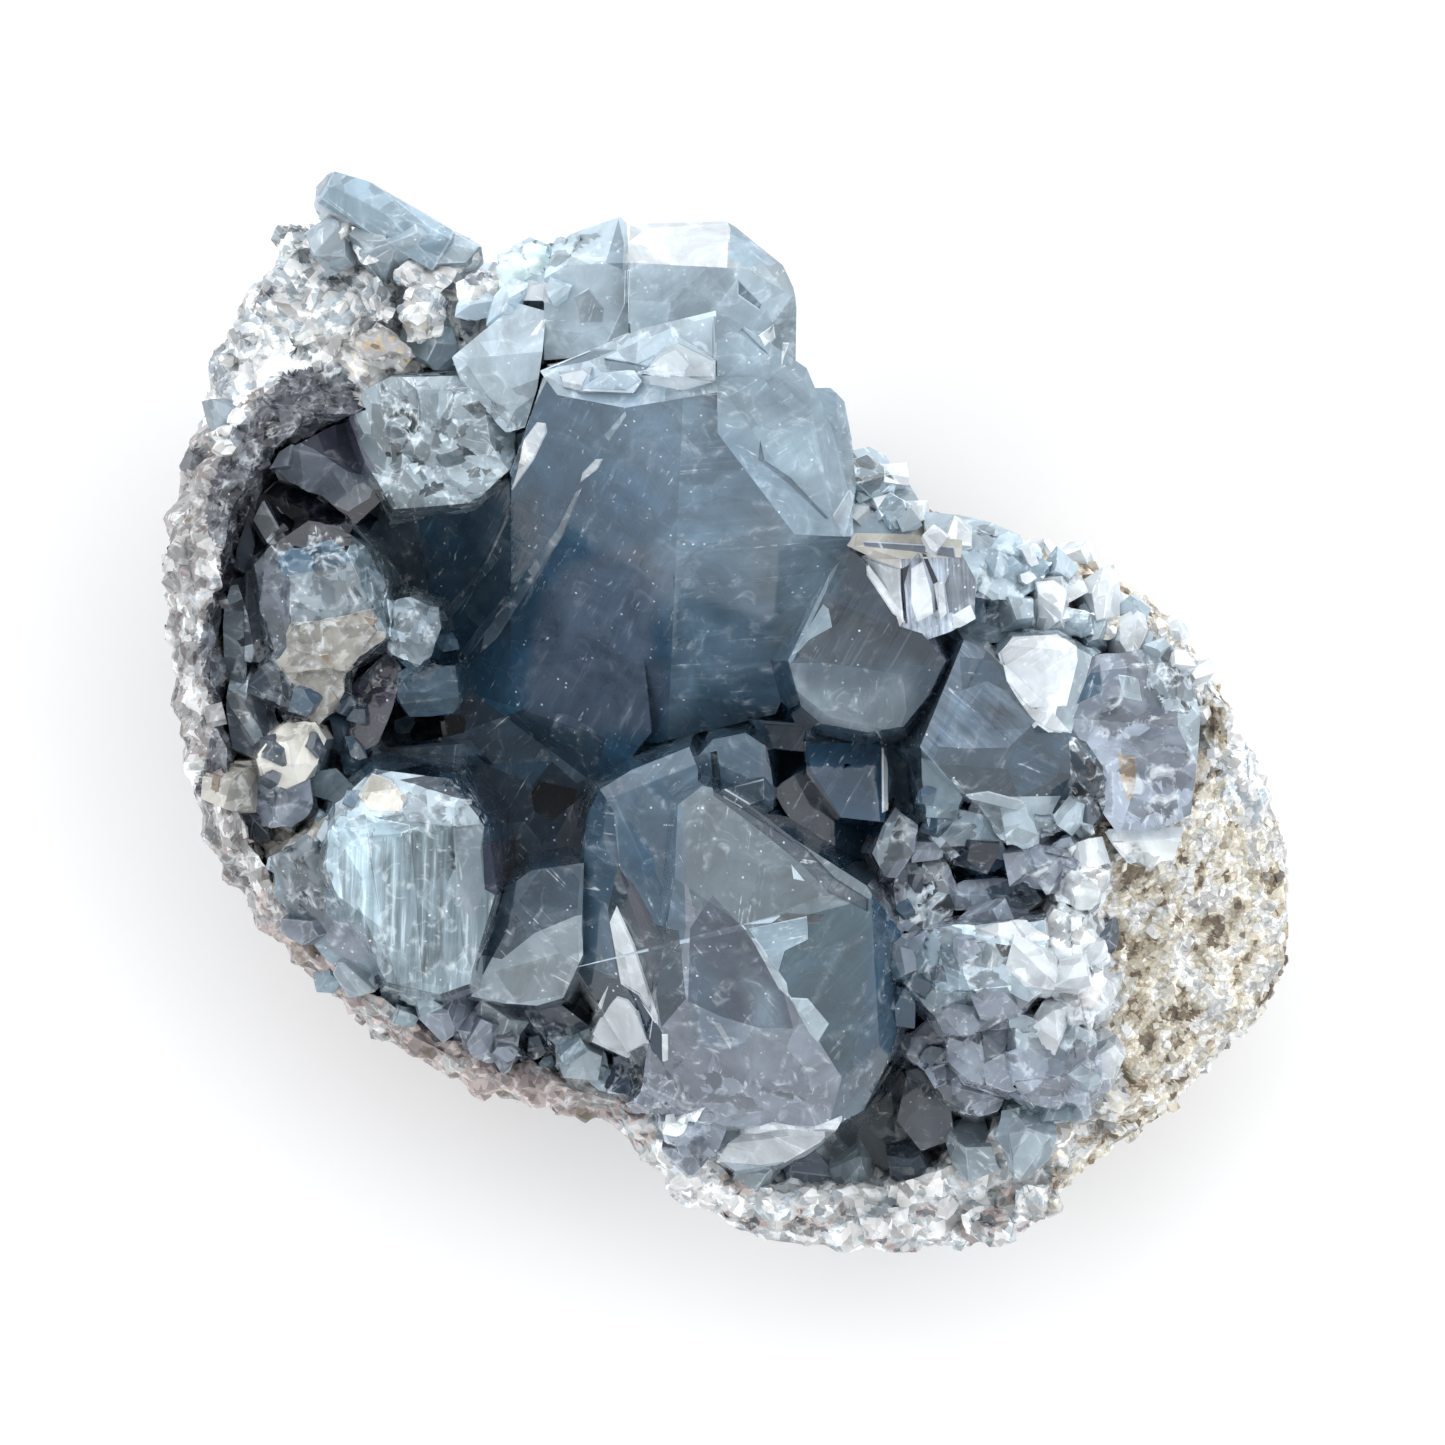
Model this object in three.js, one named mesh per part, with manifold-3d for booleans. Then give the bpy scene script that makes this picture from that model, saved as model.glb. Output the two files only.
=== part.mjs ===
// A celestite crystal cluster: blue-grey blocky crystals grown together in the hollow of a rind of
// granular rock. The cluster lies on the back of the rind, so the crystals point up.
// Units are millimetres. +Z is up, +X is right and +Y is away, as seen from the front of the crystals.

import * as THREE from "three";
import { ConvexGeometry } from "three/addons/geometries/ConvexGeometry.js";
import { mergeVertices } from "three/addons/utils/BufferGeometryUtils.js";
import Module from "manifold-3d";

const wasm = await Module();
wasm.setup();

// Driving dimensions.
const REST_RADIUS = 21; // flat patch under the rind that the cluster rests on
const FLOOR_RADIUS = 12; // flat middle of the hollow's floor
const FLOOR_HEIGHT = 7; // height of the hollow's floor
const TOP_STEPS = 2; // rows across the top of the rim
const RIND_STEPS = 60; // sides around the rind
const LUMP = 0.7; // how far the rind's lumps stand out
const GAP = 0.35; // clearance between the crystals and the rind
const BED_EDGE = 14; // height of the massive crystal that lines the hollow, at its edge
const BED_HEIGHT = 21; // and in its middle

// The rim of the rind, going round from +X: angle in degrees, outer radius, inner radius,
// height of the outer edge, height of the inner edge.
const RIM = [
  [-18, 53.5, 32, 19, 30],
  [-12, 51.2, 33, 19, 31],
  [-6, 48, 35, 20, 31],
  [0, 45.2, 37, 21, 31],
  [6, 42.8, 36, 22, 31],
  [12, 40.4, 35, 24, 30],
  [18, 37.4, 32, 25, 29],
  [24, 34.4, 28, 25, 28],
  [30, 31, 24, 24, 26],
  [36, 28.6, 22, 22, 24],
  [42, 26.6, 20, 20, 23],
  [48, 24.8, 18.5, 19, 21],
  [54, 26, 18, 18, 20],
  [60, 26.4, 18, 18, 20],
  [66, 26.2, 18, 18, 20],
  [72, 27.4, 19, 18, 20],
  [78, 30, 22, 18, 20],
  [84, 36.4, 27, 19, 21],
  [90, 39.6, 31, 20, 22],
  [96, 41, 32, 21, 23],
  [102, 42.4, 33, 23, 25],
  [108, 43.2, 34, 24, 26],
  [114, 44, 34.5, 26, 28],
  [120, 46.6, 36, 28, 31],
  [126, 52.8, 39, 29, 32],
  [132, 59.6, 42, 30, 33],
  [138, 58, 42, 31, 33],
  [144, 56.6, 45.5, 31, 33],
  [150, 55.4, 48.5, 31, 33],
  [156, 54.6, 49, 31, 33],
  [162, 53.4, 48.6, 31, 32],
  [168, 52.2, 48.2, 30, 31],
  [174, 51.1, 47.6, 30, 31],
  [180, 50.2, 46.8, 29, 30],
  [186, 49.9, 46.2, 28, 29],
  [192, 49.2, 45.6, 27, 28],
  [198, 48, 44.6, 26, 27],
  [204, 46.9, 43.6, 25, 26],
  [210, 45.8, 42.6, 24, 25],
  [216, 44.5, 41.6, 23, 24],
  [222, 43.5, 40.6, 22, 23],
  [228, 42.4, 39.6, 21, 22],
  [234, 41.3, 38.2, 21, 22],
  [240, 40.3, 36.8, 20, 21],
  [246, 39.2, 35.6, 20, 21],
  [252, 38.8, 35.4, 19, 20],
  [258, 41, 37, 18, 20],
  [264, 44.4, 39.6, 18, 20],
  [270, 47, 42, 17, 19],
  [276, 48.7, 43.4, 17, 19],
  [282, 49.9, 44.2, 16, 19],
  [288, 51.4, 45, 16, 19],
  [294, 52.8, 45.6, 16, 20],
  [300, 54.2, 45, 16, 22],
  [306, 52.7, 44, 16, 24],
  [312, 52.6, 42, 16, 25],
  [318, 53.7, 39, 17, 27],
  [324, 53.8, 36, 17, 28],
  [330, 55.2, 34, 18, 29],
  [336, 55, 32.6, 18, 30],
];

// The rind's section, from the edge of the resting patch up the outside:
// how far out towards the outer radius, and the height as a share of the outer edge.
const OUTSIDE = [
  [0, 0],
  [0.3, 0.05],
  [0.55, 0.14],
  [0.75, 0.28],
  [0.9, 0.48],
  [0.98, 0.7],
  [1, 0.88],
];

// The hollow, from its inner edge down: how far out from the floor's flat middle towards the
// inner radius, and the height as a share of the inner edge.
const HOLLOW = [
  [0.98, 0.78],
  [0.92, 0.54],
  [0.74, 0.36],
  [0, 0],
];

// The same numbers on every run, for the small repeated crystals.
function seeded(seed) {
  let state = seed;
  return () => {
    state = (state * 1664525 + 1013904223) % 4294967296;
    return state / 4294967296;
  };
}

// The rim's sizes at an angle, blended between the two nearest rows.
function rimAt(degrees) {
  let a = degrees;
  while (a < RIM[0][0]) {
    a += 360;
  }
  while (a >= RIM[0][0] + 360) {
    a -= 360;
  }
  for (let i = 0; i < RIM.length; i++) {
    const here = RIM[i];
    const next = RIM[(i + 1) % RIM.length];
    const end = i + 1 < RIM.length ? next[0] : next[0] + 360;
    if (a >= here[0] && a < end) {
      const t = (a - here[0]) / (end - here[0]);
      return [1, 2, 3, 4].map((k) => here[k] * (1 - t) + next[k] * t);
    }
  }
  return RIM[0].slice(1);
}

// A gentle, repeatable unevenness.
function lumps(x, y, z) {
  const coarse = Math.sin(0.31 * x + 0.17 * z + 1.3) * Math.sin(0.29 * y - 0.21 * z + 0.4);
  const fine = Math.sin(0.83 * x - 0.5 * z) * Math.sin(0.77 * y + 0.61 * z + 2.1);
  return 0.6 * coarse + 0.4 * fine;
}

// A closed mesh as a solid that can be joined and cut.
function solid(geometry) {
  const bare = geometry.clone();
  bare.deleteAttribute("normal");
  bare.deleteAttribute("uv");
  const merged = mergeVertices(bare, 1e-4);
  const mesh = new wasm.Mesh({
    numProp: 3,
    vertProperties: new Float32Array(merged.attributes.position.array),
    triVerts: new Uint32Array(merged.index.array),
  });
  return new wasm.Manifold(mesh);
}

// The rows of the rind's section at one angle, from the middle of its underside, up the outside,
// over the top and down the hollow: radius and height. grow makes the section fatter all round.
function sectionAt(rim, grow) {
  const [outer, inner, outerHeight, innerHeight] = rim;
  const rows = [[0, -grow]];
  for (const [out, up] of OUTSIDE) {
    const r = REST_RADIUS + (outer - REST_RADIUS) * out + grow;
    rows.push([r, up === 0 ? -grow : up * outerHeight]);
  }
  for (let i = 0; i <= TOP_STEPS; i++) {
    const t = i / TOP_STEPS;
    const r = (outer * 0.985 + grow) * (1 - t) + (inner - grow) * t;
    const crown = Math.sin(Math.PI * Math.min(1, t * 1.15 + 0.08)) * 1.2;
    rows.push([r, outerHeight * (1 - t) + innerHeight * t + crown + grow * 1.8]);
  }
  for (const [out, up] of HOLLOW) {
    const r = FLOOR_RADIUS + (inner - grow - FLOOR_RADIUS) * out;
    rows.push([r, out > 0 ? up * innerHeight + grow : FLOOR_HEIGHT + grow]);
  }
  rows.push([0, FLOOR_HEIGHT + grow]);
  return rows;
}

// A lathe turned from that section and pulled out to the rim's real outline at each angle,
// with the same lumps whether it is fatter or not.
function bowl(grow) {
  const last = sectionAt(RIM[0].slice(1), 0).length - 1;
  const section = [];
  for (let row = 0; row <= last; row++) {
    section.push(new THREE.Vector2(row === 0 || row === last ? 0 : 1, row));
  }
  const lathe = new THREE.LatheGeometry(section, RIND_STEPS);
  const place = lathe.attributes.position;
  for (let i = 0; i < place.count; i++) {
    const row = Math.round(place.getY(i));
    const onAxis = row === 0 || row === last;
    const angle = onAxis ? 0 : Math.atan2(place.getX(i), place.getZ(i));
    const rim = rimAt((angle * 180) / Math.PI);
    const [bareR, bareZ] = sectionAt(rim, 0)[row];
    const [r, z] = sectionAt(rim, grow)[row];
    const smooth = row <= 1 || onAxis;
    const rough = smooth ? 0 : LUMP * lumps(bareR * Math.cos(angle), bareR * Math.sin(angle), bareZ);
    const isTop = row > OUTSIDE.length && row <= OUTSIDE.length + TOP_STEPS + 1;
    const out = r + (isTop ? 0 : rough * 0.8);
    const up = z + rough * (isTop ? 1.6 : 1);
    place.setXYZ(i, out * Math.cos(angle), out * Math.sin(angle), up);
  }
  return solid(lathe);
}

// The outer corners of an outline in order, so that a crystal is always convex.
function hull(outline) {
  const sorted = [...outline].sort((a, b) => a[0] - b[0] || a[1] - b[1]);
  const turn = (o, a, b) => (a[0] - o[0]) * (b[1] - o[1]) - (a[1] - o[1]) * (b[0] - o[0]);
  const half = (list) => {
    const kept = [];
    for (const p of list) {
      while (kept.length > 1 && turn(kept[kept.length - 2], kept[kept.length - 1], p) <= 0) {
        kept.pop();
      }
      kept.push(p);
    }
    kept.pop();
    return kept;
  };
  return [...half(sorted), ...half(sorted.reverse())];
}

// The middle of an outline.
function middle(outline) {
  const x = outline.reduce((sum, p) => sum + p[0], 0) / outline.length;
  const y = outline.reduce((sum, p) => sum + p[1], 0) / outline.length;
  return [x, y];
}

// The corners of the space that lies under every one of the planes [a, b, c, d],
// where a x + b y + c z is at most d.
function cornersOf(planes) {
  const found = new Map();
  for (let i = 0; i < planes.length; i++) {
    for (let j = i + 1; j < planes.length; j++) {
      for (let k = j + 1; k < planes.length; k++) {
        const [p, q, r] = [planes[i], planes[j], planes[k]];
        const m = new THREE.Matrix3().set(...p.slice(0, 3), ...q.slice(0, 3), ...r.slice(0, 3));
        if (Math.abs(m.determinant()) < 1e-7) {
          continue;
        }
        const at = new THREE.Vector3(p[3], q[3], r[3]).applyMatrix3(m.invert());
        if (planes.every((n) => n[0] * at.x + n[1] * at.y + n[2] * at.z < n[3] + 1e-6)) {
          const key = [at.x, at.y, at.z].map((v) => v.toFixed(3)).join();
          found.set(key, at);
        }
      }
    }
  }
  return [...found.values()];
}

// One crystal with flat faces. outline is its plan. The main face lies at height z at the point
// at, and rises by lean per millimetre along X and Y. Each fold is a straight edge of that face
// in plan, x1, y1, x2, y2, beyond which the crystal falls k millimetres more per millimetre.
// The sides spread by spread per millimetre going down to the root at depth foot, or draw in where
// it is negative, as on the crystals that lean out over the rim.
function crystal({ outline, z, lean = [0, 0], at, folds = [], foot = 10, spread = 0.13 }) {
  const plan = hull(outline);
  const [mx, my] = middle(plan);
  const [cx, cy] = at ?? [mx, my];
  const base = [-lean[0], -lean[1], 1, z - lean[0] * cx - lean[1] * cy];
  const planes = [base, [0, 0, -1, -foot]];
  for (const [x1, y1, x2, y2, k] of folds) {
    const length = Math.hypot(x2 - x1, y2 - y1);
    let ex = (y2 - y1) / length;
    let ey = (x1 - x2) / length;
    if (ex * (cx - x1) + ey * (cy - y1) > 0) {
      ex = -ex;
      ey = -ey;
    }
    planes.push([base[0] + k * ex, base[1] + k * ey, 1, base[3] + k * (ex * x1 + ey * y1)]);
  }
  for (let i = 0; i < plan.length; i++) {
    const [x1, y1] = plan[i];
    const [x2, y2] = plan[(i + 1) % plan.length];
    const length = Math.hypot(x2 - x1, y2 - y1);
    const ex = (y2 - y1) / length;
    const ey = (x1 - x2) / length;
    const edge = z + lean[0] * ((x1 + x2) / 2 - cx) + lean[1] * ((y1 + y2) / 2 - cy);
    planes.push([ex, ey, spread, ex * x1 + ey * y1 + spread * edge]);
  }
  return solid(new ConvexGeometry(cornersOf(planes)));
}

// The great crystal in the middle: the face that falls away to the lower left with its long
// parallel edges, the smooth curved break on its right, and the broken steps along its top.
const great = [
  {
    outline: [[-18.6, 25.6], [-17, 30], [-1.8, 29.8], [2.4, 29.4], [9.6, 20], [9.8, 15], [8, 10.5],
      [5, 5], [3, 0], [-3, -1.2], [-8, -2.6], [-20, -1], [-20.4, 20]],
    at: [-9, 20],
    z: 43.4,
    spread: 0.05,
    lean: [0.6, 0.8],
    folds: [
      [-4.5, 29.5, -6, -1, 0.62],
      [2.3, 24.5, 8.5, 16.5, 1.2],
      [-16.7, 26, -26, 8, 0.5],
      [-10.4, 27, -22.4, 2, 0.12],
      [3, 13, 6.4, 5, 0.9],
    ],
  },
  {
    outline: [[-17.4, 27], [-18.6, 25.5], [-32.3, 18.6], [-32.7, 14.5], [-30.5, 10.5], [-27, 4],
      [-25, -0.5], [-22.5, -4], [-11.5, -6], [-8, -2.5], [-9, 20]],
    at: [-22, 10],
    z: 25.6,
    lean: [0.62, 0.45],
    folds: [[-29, 20, -27.4, 8, 0.5], [-24, 2, -10, -2.6, 0.7]],
  },
  {
    outline: [[-17.4, 30.4], [-12.4, 32.2], [-7.6, 34.3], [-1.5, 35.6], [-1.5, 28.4], [-9, 27],
      [-15.4, 28]],
    at: [-8, 31],
    z: 50.3,
    spread: -0.1,
    lean: [0.35, -0.55],
  },
  {
    outline: [[-15.4, 30.2], [-12.7, 30.6], [-12.9, 29.2], [-13.6, 28.5], [-15.2, 29]],
    z: 49.6,
    lean: [0.3, -0.3],
    foot: 40,
  },
  {
    outline: [[-13.4, 28.6], [-11.4, 30.1], [-9, 30.4], [-8.2, 29.4], [-9, 28.2]],
    z: 51.6,
    lean: [0.3, -0.35],
    foot: 40,
  },
  {
    outline: [[-8, 30.1], [-6.4, 32], [-5, 33], [-3.6, 31.2], [-1.8, 31.2], [-1.8, 29.2]],
    z: 53,
    lean: [0.3, -0.4],
    foot: 40,
  },
  {
    outline: [[-1.6, 35.6], [0.5, 34.4], [3.2, 32.2], [6.2, 30.8], [6.7, 28.6], [8.4, 26],
      [10.4, 19], [10.6, 15.6], [5, 16], [-1.6, 25]],
    at: [2, 29],
    z: 52,
    spread: -0.08,
    lean: [-0.35, 0.1],
    folds: [[-1.4, 33, 4, 29.6, 0.35], [5.4, 30, 8.6, 17, 0.7]],
  },
];

// The crystals behind the great one, which make the top of the cluster.
const back = [
  // The wide block with a bright sloping roof and a darker front.
  {
    outline: [[-9.8, 43.6], [-0.8, 43.9], [0.9, 42.9], [4.7, 39.7], [5.7, 37], [6.1, 33], [6.1, 29],
      [-9.5, 31]],
    at: [-5, 41.6],
    z: 43.6,
    spread: -0.1,
    lean: [0, -0.75],
    foot: 20,
    folds: [[-9.7, 40.1, -0.7, 39.6, 0.9], [-0.6, 43.6, 2.7, 36, 0.75]],
  },
  // The peaked block on its left.
  {
    outline: [[-17.2, 42], [-10.2, 44.5], [-9.2, 43.2], [-9.2, 31.4], [-17.4, 30.8]],
    at: [-13, 41.6],
    z: 40.2,
    spread: -0.1,
    lean: [0.1, -0.7],
    foot: 21.5,
    folds: [[-15, 40, -9.5, 40.2, 0.85], [-14.6, 41, -16.8, 36, 0.7]],
  },
  // The low gable between it and the frost.
  {
    outline: [[-21.4, 41.2], [-18.4, 42.9], [-14.8, 41.4], [-15.2, 37], [-21, 37]],
    at: [-18.4, 39],
    z: 37.4,
    spread: -0.1,
    lean: [0, -0.2],
    foot: 24,
    folds: [[-21.6, 40.4, -18.4, 41.2, 0.8], [-18.2, 41.4, -14.4, 40.2, 0.8]],
  },
  // The pale tabular crystal with two faces.
  {
    outline: [[-25.3, 32], [-22.5, 34.6], [-19.4, 37.2], [-16.6, 36.2], [-17.3, 30.4], [-18.6, 25.7],
      [-20.4, 25.3], [-24.4, 29.2]],
    at: [-20.5, 29.4],
    z: 39.4,
    spread: -0.1,
    lean: [0.3, 0.35],
    folds: [[-24.8, 31.7, -17.2, 32.3, 0.85], [-24.4, 32, -20, 25.4, 0.5]],
  },
  // The streaked blade down the right of the great crystal.
  {
    outline: [[6.2, 29], [8.4, 29.1], [9.8, 28], [10.5, 25], [11, 20.5], [10.2, 15.5], [6.4, 18]],
    z: 41,
    spread: -0.1,
    lean: [-0.25, 0.1],
    folds: [[9, 28.6, 9.6, 17, 1.4]],
  },
];

// The glassy round crystal and the crystals of the left side.
const left = [
  {
    outline: [[-34, 26.5], [-33, 28.7], [-30.8, 30], [-25, 30.2], [-22, 27.9], [-20.2, 25.3],
      [-19.8, 22.8], [-21.2, 21.2], [-24, 19.4], [-30.4, 19.1], [-32.6, 22.6]],
    at: [-25.4, 26.2],
    z: 37.5,
    lean: [0.05, 0.12],
    folds: [
      [-28.4, 29, -28.2, 25.6, 0.75],
      [-28.2, 25.6, -22.4, 24.4, 0.6],
      [-22.4, 28, -21.8, 23, 0.9],
      [-31, 22, -24, 20.6, 1.1],
      [-29, 29, -23, 29.2, 0.8],
    ],
  },
  // Shaded faces in the upper left of the hollow.
  {
    outline: [[-42, 23.6], [-40.6, 26.8], [-37, 28.8], [-34.6, 27.8], [-32.6, 24], [-31.8, 21.2],
      [-34, 19.2], [-41, 21.2]],
    at: [-37, 25],
    z: 26.5,
    lean: [-0.1, -0.15],
    folds: [[-41, 24.4, -33, 22.4, 0.7], [-36.4, 29, -35.4, 20, 0.5]],
  },
  {
    outline: [[-46, 24.4], [-44, 28.2], [-41, 29.4], [-39.4, 26.6], [-40.4, 22.4], [-44, 22]],
    z: 28,
    lean: [0.3, 0.2],
    folds: [[-43, 29, -42.4, 22, 0.6]],
  },
  {
    outline: [[-43.6, 17.4], [-42.9, 19.7], [-41, 17.2], [-38.2, 14.5], [-39.5, 13], [-42.2, 14.8]],
    z: 26,
    lean: [0.2, 0.3],
    folds: [[-42.4, 15.4, -40.8, 17.4, 0.8]],
  },
  {
    outline: [[-44.8, 21.4], [-42.6, 22], [-36.5, 18.8], [-32.8, 17.4], [-33.6, 15.6], [-38, 16.4],
      [-43, 19.4]],
    z: 24,
    lean: [0, 0.1],
    folds: [[-43.6, 20.6, -33.2, 16.4, 0.9]],
  },
  {
    outline: [[-46.6, 17.6], [-44.4, 19.4], [-43.4, 15.4], [-44, 12.6], [-46.4, 14]],
    z: 25,
    lean: [0.3, 0],
    folds: [[-45.6, 19, -44.8, 13, 0.7]],
  },
  // The large crystal at mid left.
  {
    outline: [[-42.8, 13.4], [-41, 15.3], [-38.2, 17.1], [-35.4, 16.8], [-33, 14.7], [-31.4, 11.4],
      [-31.4, 7], [-35, 4.6], [-40, 4.4], [-41.6, 6.8]],
    at: [-36.6, 11],
    z: 34.5,
    lean: [-0.05, 0.05],
    folds: [
      [-40.6, 13.4, -35, 14.4, 0.7],
      [-35.4, 15.6, -32.8, 10.4, 0.8],
      [-40, 14, -39.6, 7, 0.9],
      [-39.8, 8.4, -32.6, 7.6, 0.5],
    ],
  },
  {
    outline: [[-44.2, 13], [-42.6, 13.4], [-41.2, 7], [-41.6, 4.4], [-44.2, 5]],
    z: 27,
    lean: [0.4, 0],
  },
  {
    outline: [[-41.4, 5.8], [-34.8, 4.9], [-35.2, 2], [-37.4, -0.8], [-40, 0.6], [-44, 2.4]],
    at: [-38, 3.4],
    z: 31,
    lean: [0, 0.2],
    folds: [[-41, 5, -39.6, 0.8, 0.7]],
  },
  {
    outline: [[-47, 11.6], [-44.4, 12.4], [-44, 6], [-44.6, 1.6], [-46.8, 3]],
    z: 25,
    lean: [0.5, 0.1],
    folds: [[-46, 8, -44, 7, 0.4]],
  },
  // The frosted lump and the darker one in front of the great crystal's edge.
  {
    outline: [[-31.6, 9.6], [-29.2, 10.4], [-26.8, 9.6], [-26.6, 7.8], [-27.4, 5.4], [-28.6, 4.3],
      [-30.6, 5.6], [-31.6, 7.4]],
    at: [-29.2, 7.8],
    z: 31.5,
    folds: [[-30.4, 9, -28, 9.2, 0.8], [-28.2, 9, -28, 5.6, 0.7], [-30.6, 9, -30, 5.6, 0.8]],
  },
  {
    outline: [[-30.4, 3.8], [-28.6, 4.6], [-25.2, 4.4], [-24.9, 1.4], [-25.4, 0], [-29.2, -0.3],
      [-30.5, 1.4]],
    z: 28,
    lean: [-0.1, 0.1],
    folds: [[-30, 1, -25, 1.6, 0.6]],
  },
  {
    outline: [[-35.8, 0.4], [-34.4, 2.8], [-31, 5.8], [-30, 4], [-30.9, 0.4], [-32.2, -2.6],
      [-34.2, -3.6], [-36.8, -2.8]],
    at: [-33, 0.6],
    z: 28,
    lean: [0.2, -0.1],
    folds: [[-33.8, 3.4, -34.4, -3.4, 0.5]],
  },
  {
    outline: [[-43, -4], [-41.4, -1.9], [-39.6, -0.6], [-37.8, -0.7], [-36.9, -2.2], [-37.6, -4.2],
      [-38.8, -5.6], [-40.6, -6.3], [-42.6, -5.4]],
    z: 32,
    folds: [[-42, -2.8, -38.2, -1.2, 0.7], [-41.6, -4.6, -38, -4.2, 0.8], [-38.6, 0, -38.2, -6, 0.7]],
  },
  {
    outline: [[-45.6, 3], [-42.2, 2], [-41, -1.6], [-43, -4.2], [-45.8, -2.8], [-46.2, 0]],
    z: 26.5,
    lean: [0.2, 0],
    folds: [[-43.6, 3, -43.2, -4, 0.6]],
  },
  {
    outline: [[-46.4, -4.4], [-43.4, -4.2], [-42.6, -6.2], [-44.2, -8], [-46.6, -7.2]],
    z: 27,
    lean: [0, 0.2],
    folds: [[-46.4, -6, -42.8, -5.4, 0.6]],
  },
  {
    outline: [[-44.4, -6.8], [-41.6, -6], [-38.4, -5], [-38, -8.4], [-40, -10.2], [-43, -9.8]],
    z: 28,
    lean: [0.1, 0.2],
    folds: [[-41.8, -5.6, -41, -10, 0.5]],
  },
  {
    outline: [[-44.8, -9.4], [-42.6, -9.2], [-40, -10.4], [-39.6, -13.4], [-42, -15], [-44.2, -12.4]],
    z: 25,
    lean: [0.1, 0.2],
    folds: [[-44.4, -10.4, -40, -12, 0.5]],
  },
  {
    outline: [[-38.6, -5.2], [-36, -4.8], [-34.2, -6.6], [-37, -7.6], [-38.4, -7.2]],
    z: 27,
    lean: [0.1, 0.1],
  },
  // The shard under the great crystal's lower edge.
  {
    outline: [[-33, -3.8], [-31.6, -3], [-24, -2.2], [-22.2, -4.3], [-27, -4.8], [-32.4, -5]],
    z: 22,
    folds: [[-32.6, -4.2, -22.6, -3.6, 0.8]],
  },
];

// The lower left: the shiny tabular crystal, its grey neighbour and the pale one beside them.
const lowerLeft = [
  {
    outline: [[-35.6, -8.2], [-33.2, -6.4], [-32.3, -5.2], [-25.4, -5.9], [-22.4, -9.6], [-21.8, -16],
      [-24, -24], [-26.5, -24.8], [-31, -23.8], [-35, -16.8], [-36.7, -14]],
    at: [-29.6, -13],
    z: 37.4,
    lean: [0.08, 0.16],
    folds: [
      [-25.2, -6, -24.4, -21, 1],
      [-35.4, -9.6, -24.8, -8.2, 0.6],
      [-35.6, -9, -34.6, -17, 0.7],
      [-33, -20, -24, -20.6, 0.35],
    ],
  },
  {
    outline: [[-33.8, -6.6], [-32.4, -5], [-30.6, -5.8], [-29.6, -8.6], [-33, -9.6]],
    z: 36.8,
    lean: [0.1, 0.1],
    foot: 24,
    folds: [[-33.4, -7.4, -30, -7, 0.6]],
  },
  {
    outline: [[-41.6, -13.2], [-38.2, -10.2], [-35.8, -8.6], [-32, -12], [-31, -20], [-31.6, -22.6],
      [-33.2, -24], [-36.6, -22], [-39, -19.2], [-41.2, -16.2]],
    at: [-36, -16],
    z: 30,
    lean: [0.1, 0.25],
    folds: [[-40.4, -14.6, -33.6, -20.6, 0.7], [-38.4, -11.6, -35.4, -10.6, 0.6]],
  },
  {
    outline: [[-23.4, -25.2], [-22, -20], [-20.7, -15.7], [-18.4, -14], [-13.4, -13.2], [-13.8, -17.5],
      [-14, -22], [-15.8, -25.3], [-18, -25.9], [-21, -25.7]],
    at: [-17, -17],
    z: 32,
    lean: [0.1, 0.25],
    folds: [[-21, -19.4, -14, -18, 0.35], [-20.6, -20, -19.4, -14, 0.9], [-21.6, -23.6, -15, -24, 0.8]],
  },
  {
    outline: [[-25.6, -27.8], [-24.4, -25.4], [-20.4, -28.2], [-19.4, -31], [-21, -32.2], [-24.2, -31]],
    z: 23.5,
    lean: [0.1, 0.3],
    folds: [[-24.8, -28.6, -20.4, -29.6, 0.6]],
  },
  {
    outline: [[-24, -24.8], [-19.6, -26], [-15.8, -26.2], [-12.8, -28.6], [-15, -31.4], [-19, -30.4]],
    z: 22,
    lean: [0, 0.2],
    folds: [[-20, -25.6, -16, -31, 0.5]],
  },
  // Small blades in the dark gap above.
  {
    outline: [[-15.6, -8], [-13, -7.8], [-13.6, -9.8], [-15, -12], [-16.6, -12.2]],
    z: 21,
    lean: [0.2, 0.1],
  },
  {
    outline: [[-22.4, -11], [-19, -8.4], [-17.4, -12.6], [-20.6, -15.4], [-22.2, -14]],
    z: 18,
    lean: [-0.2, 0.2],
    folds: [[-21, -9.4, -19.6, -15, 0.6]],
  },
];

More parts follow.
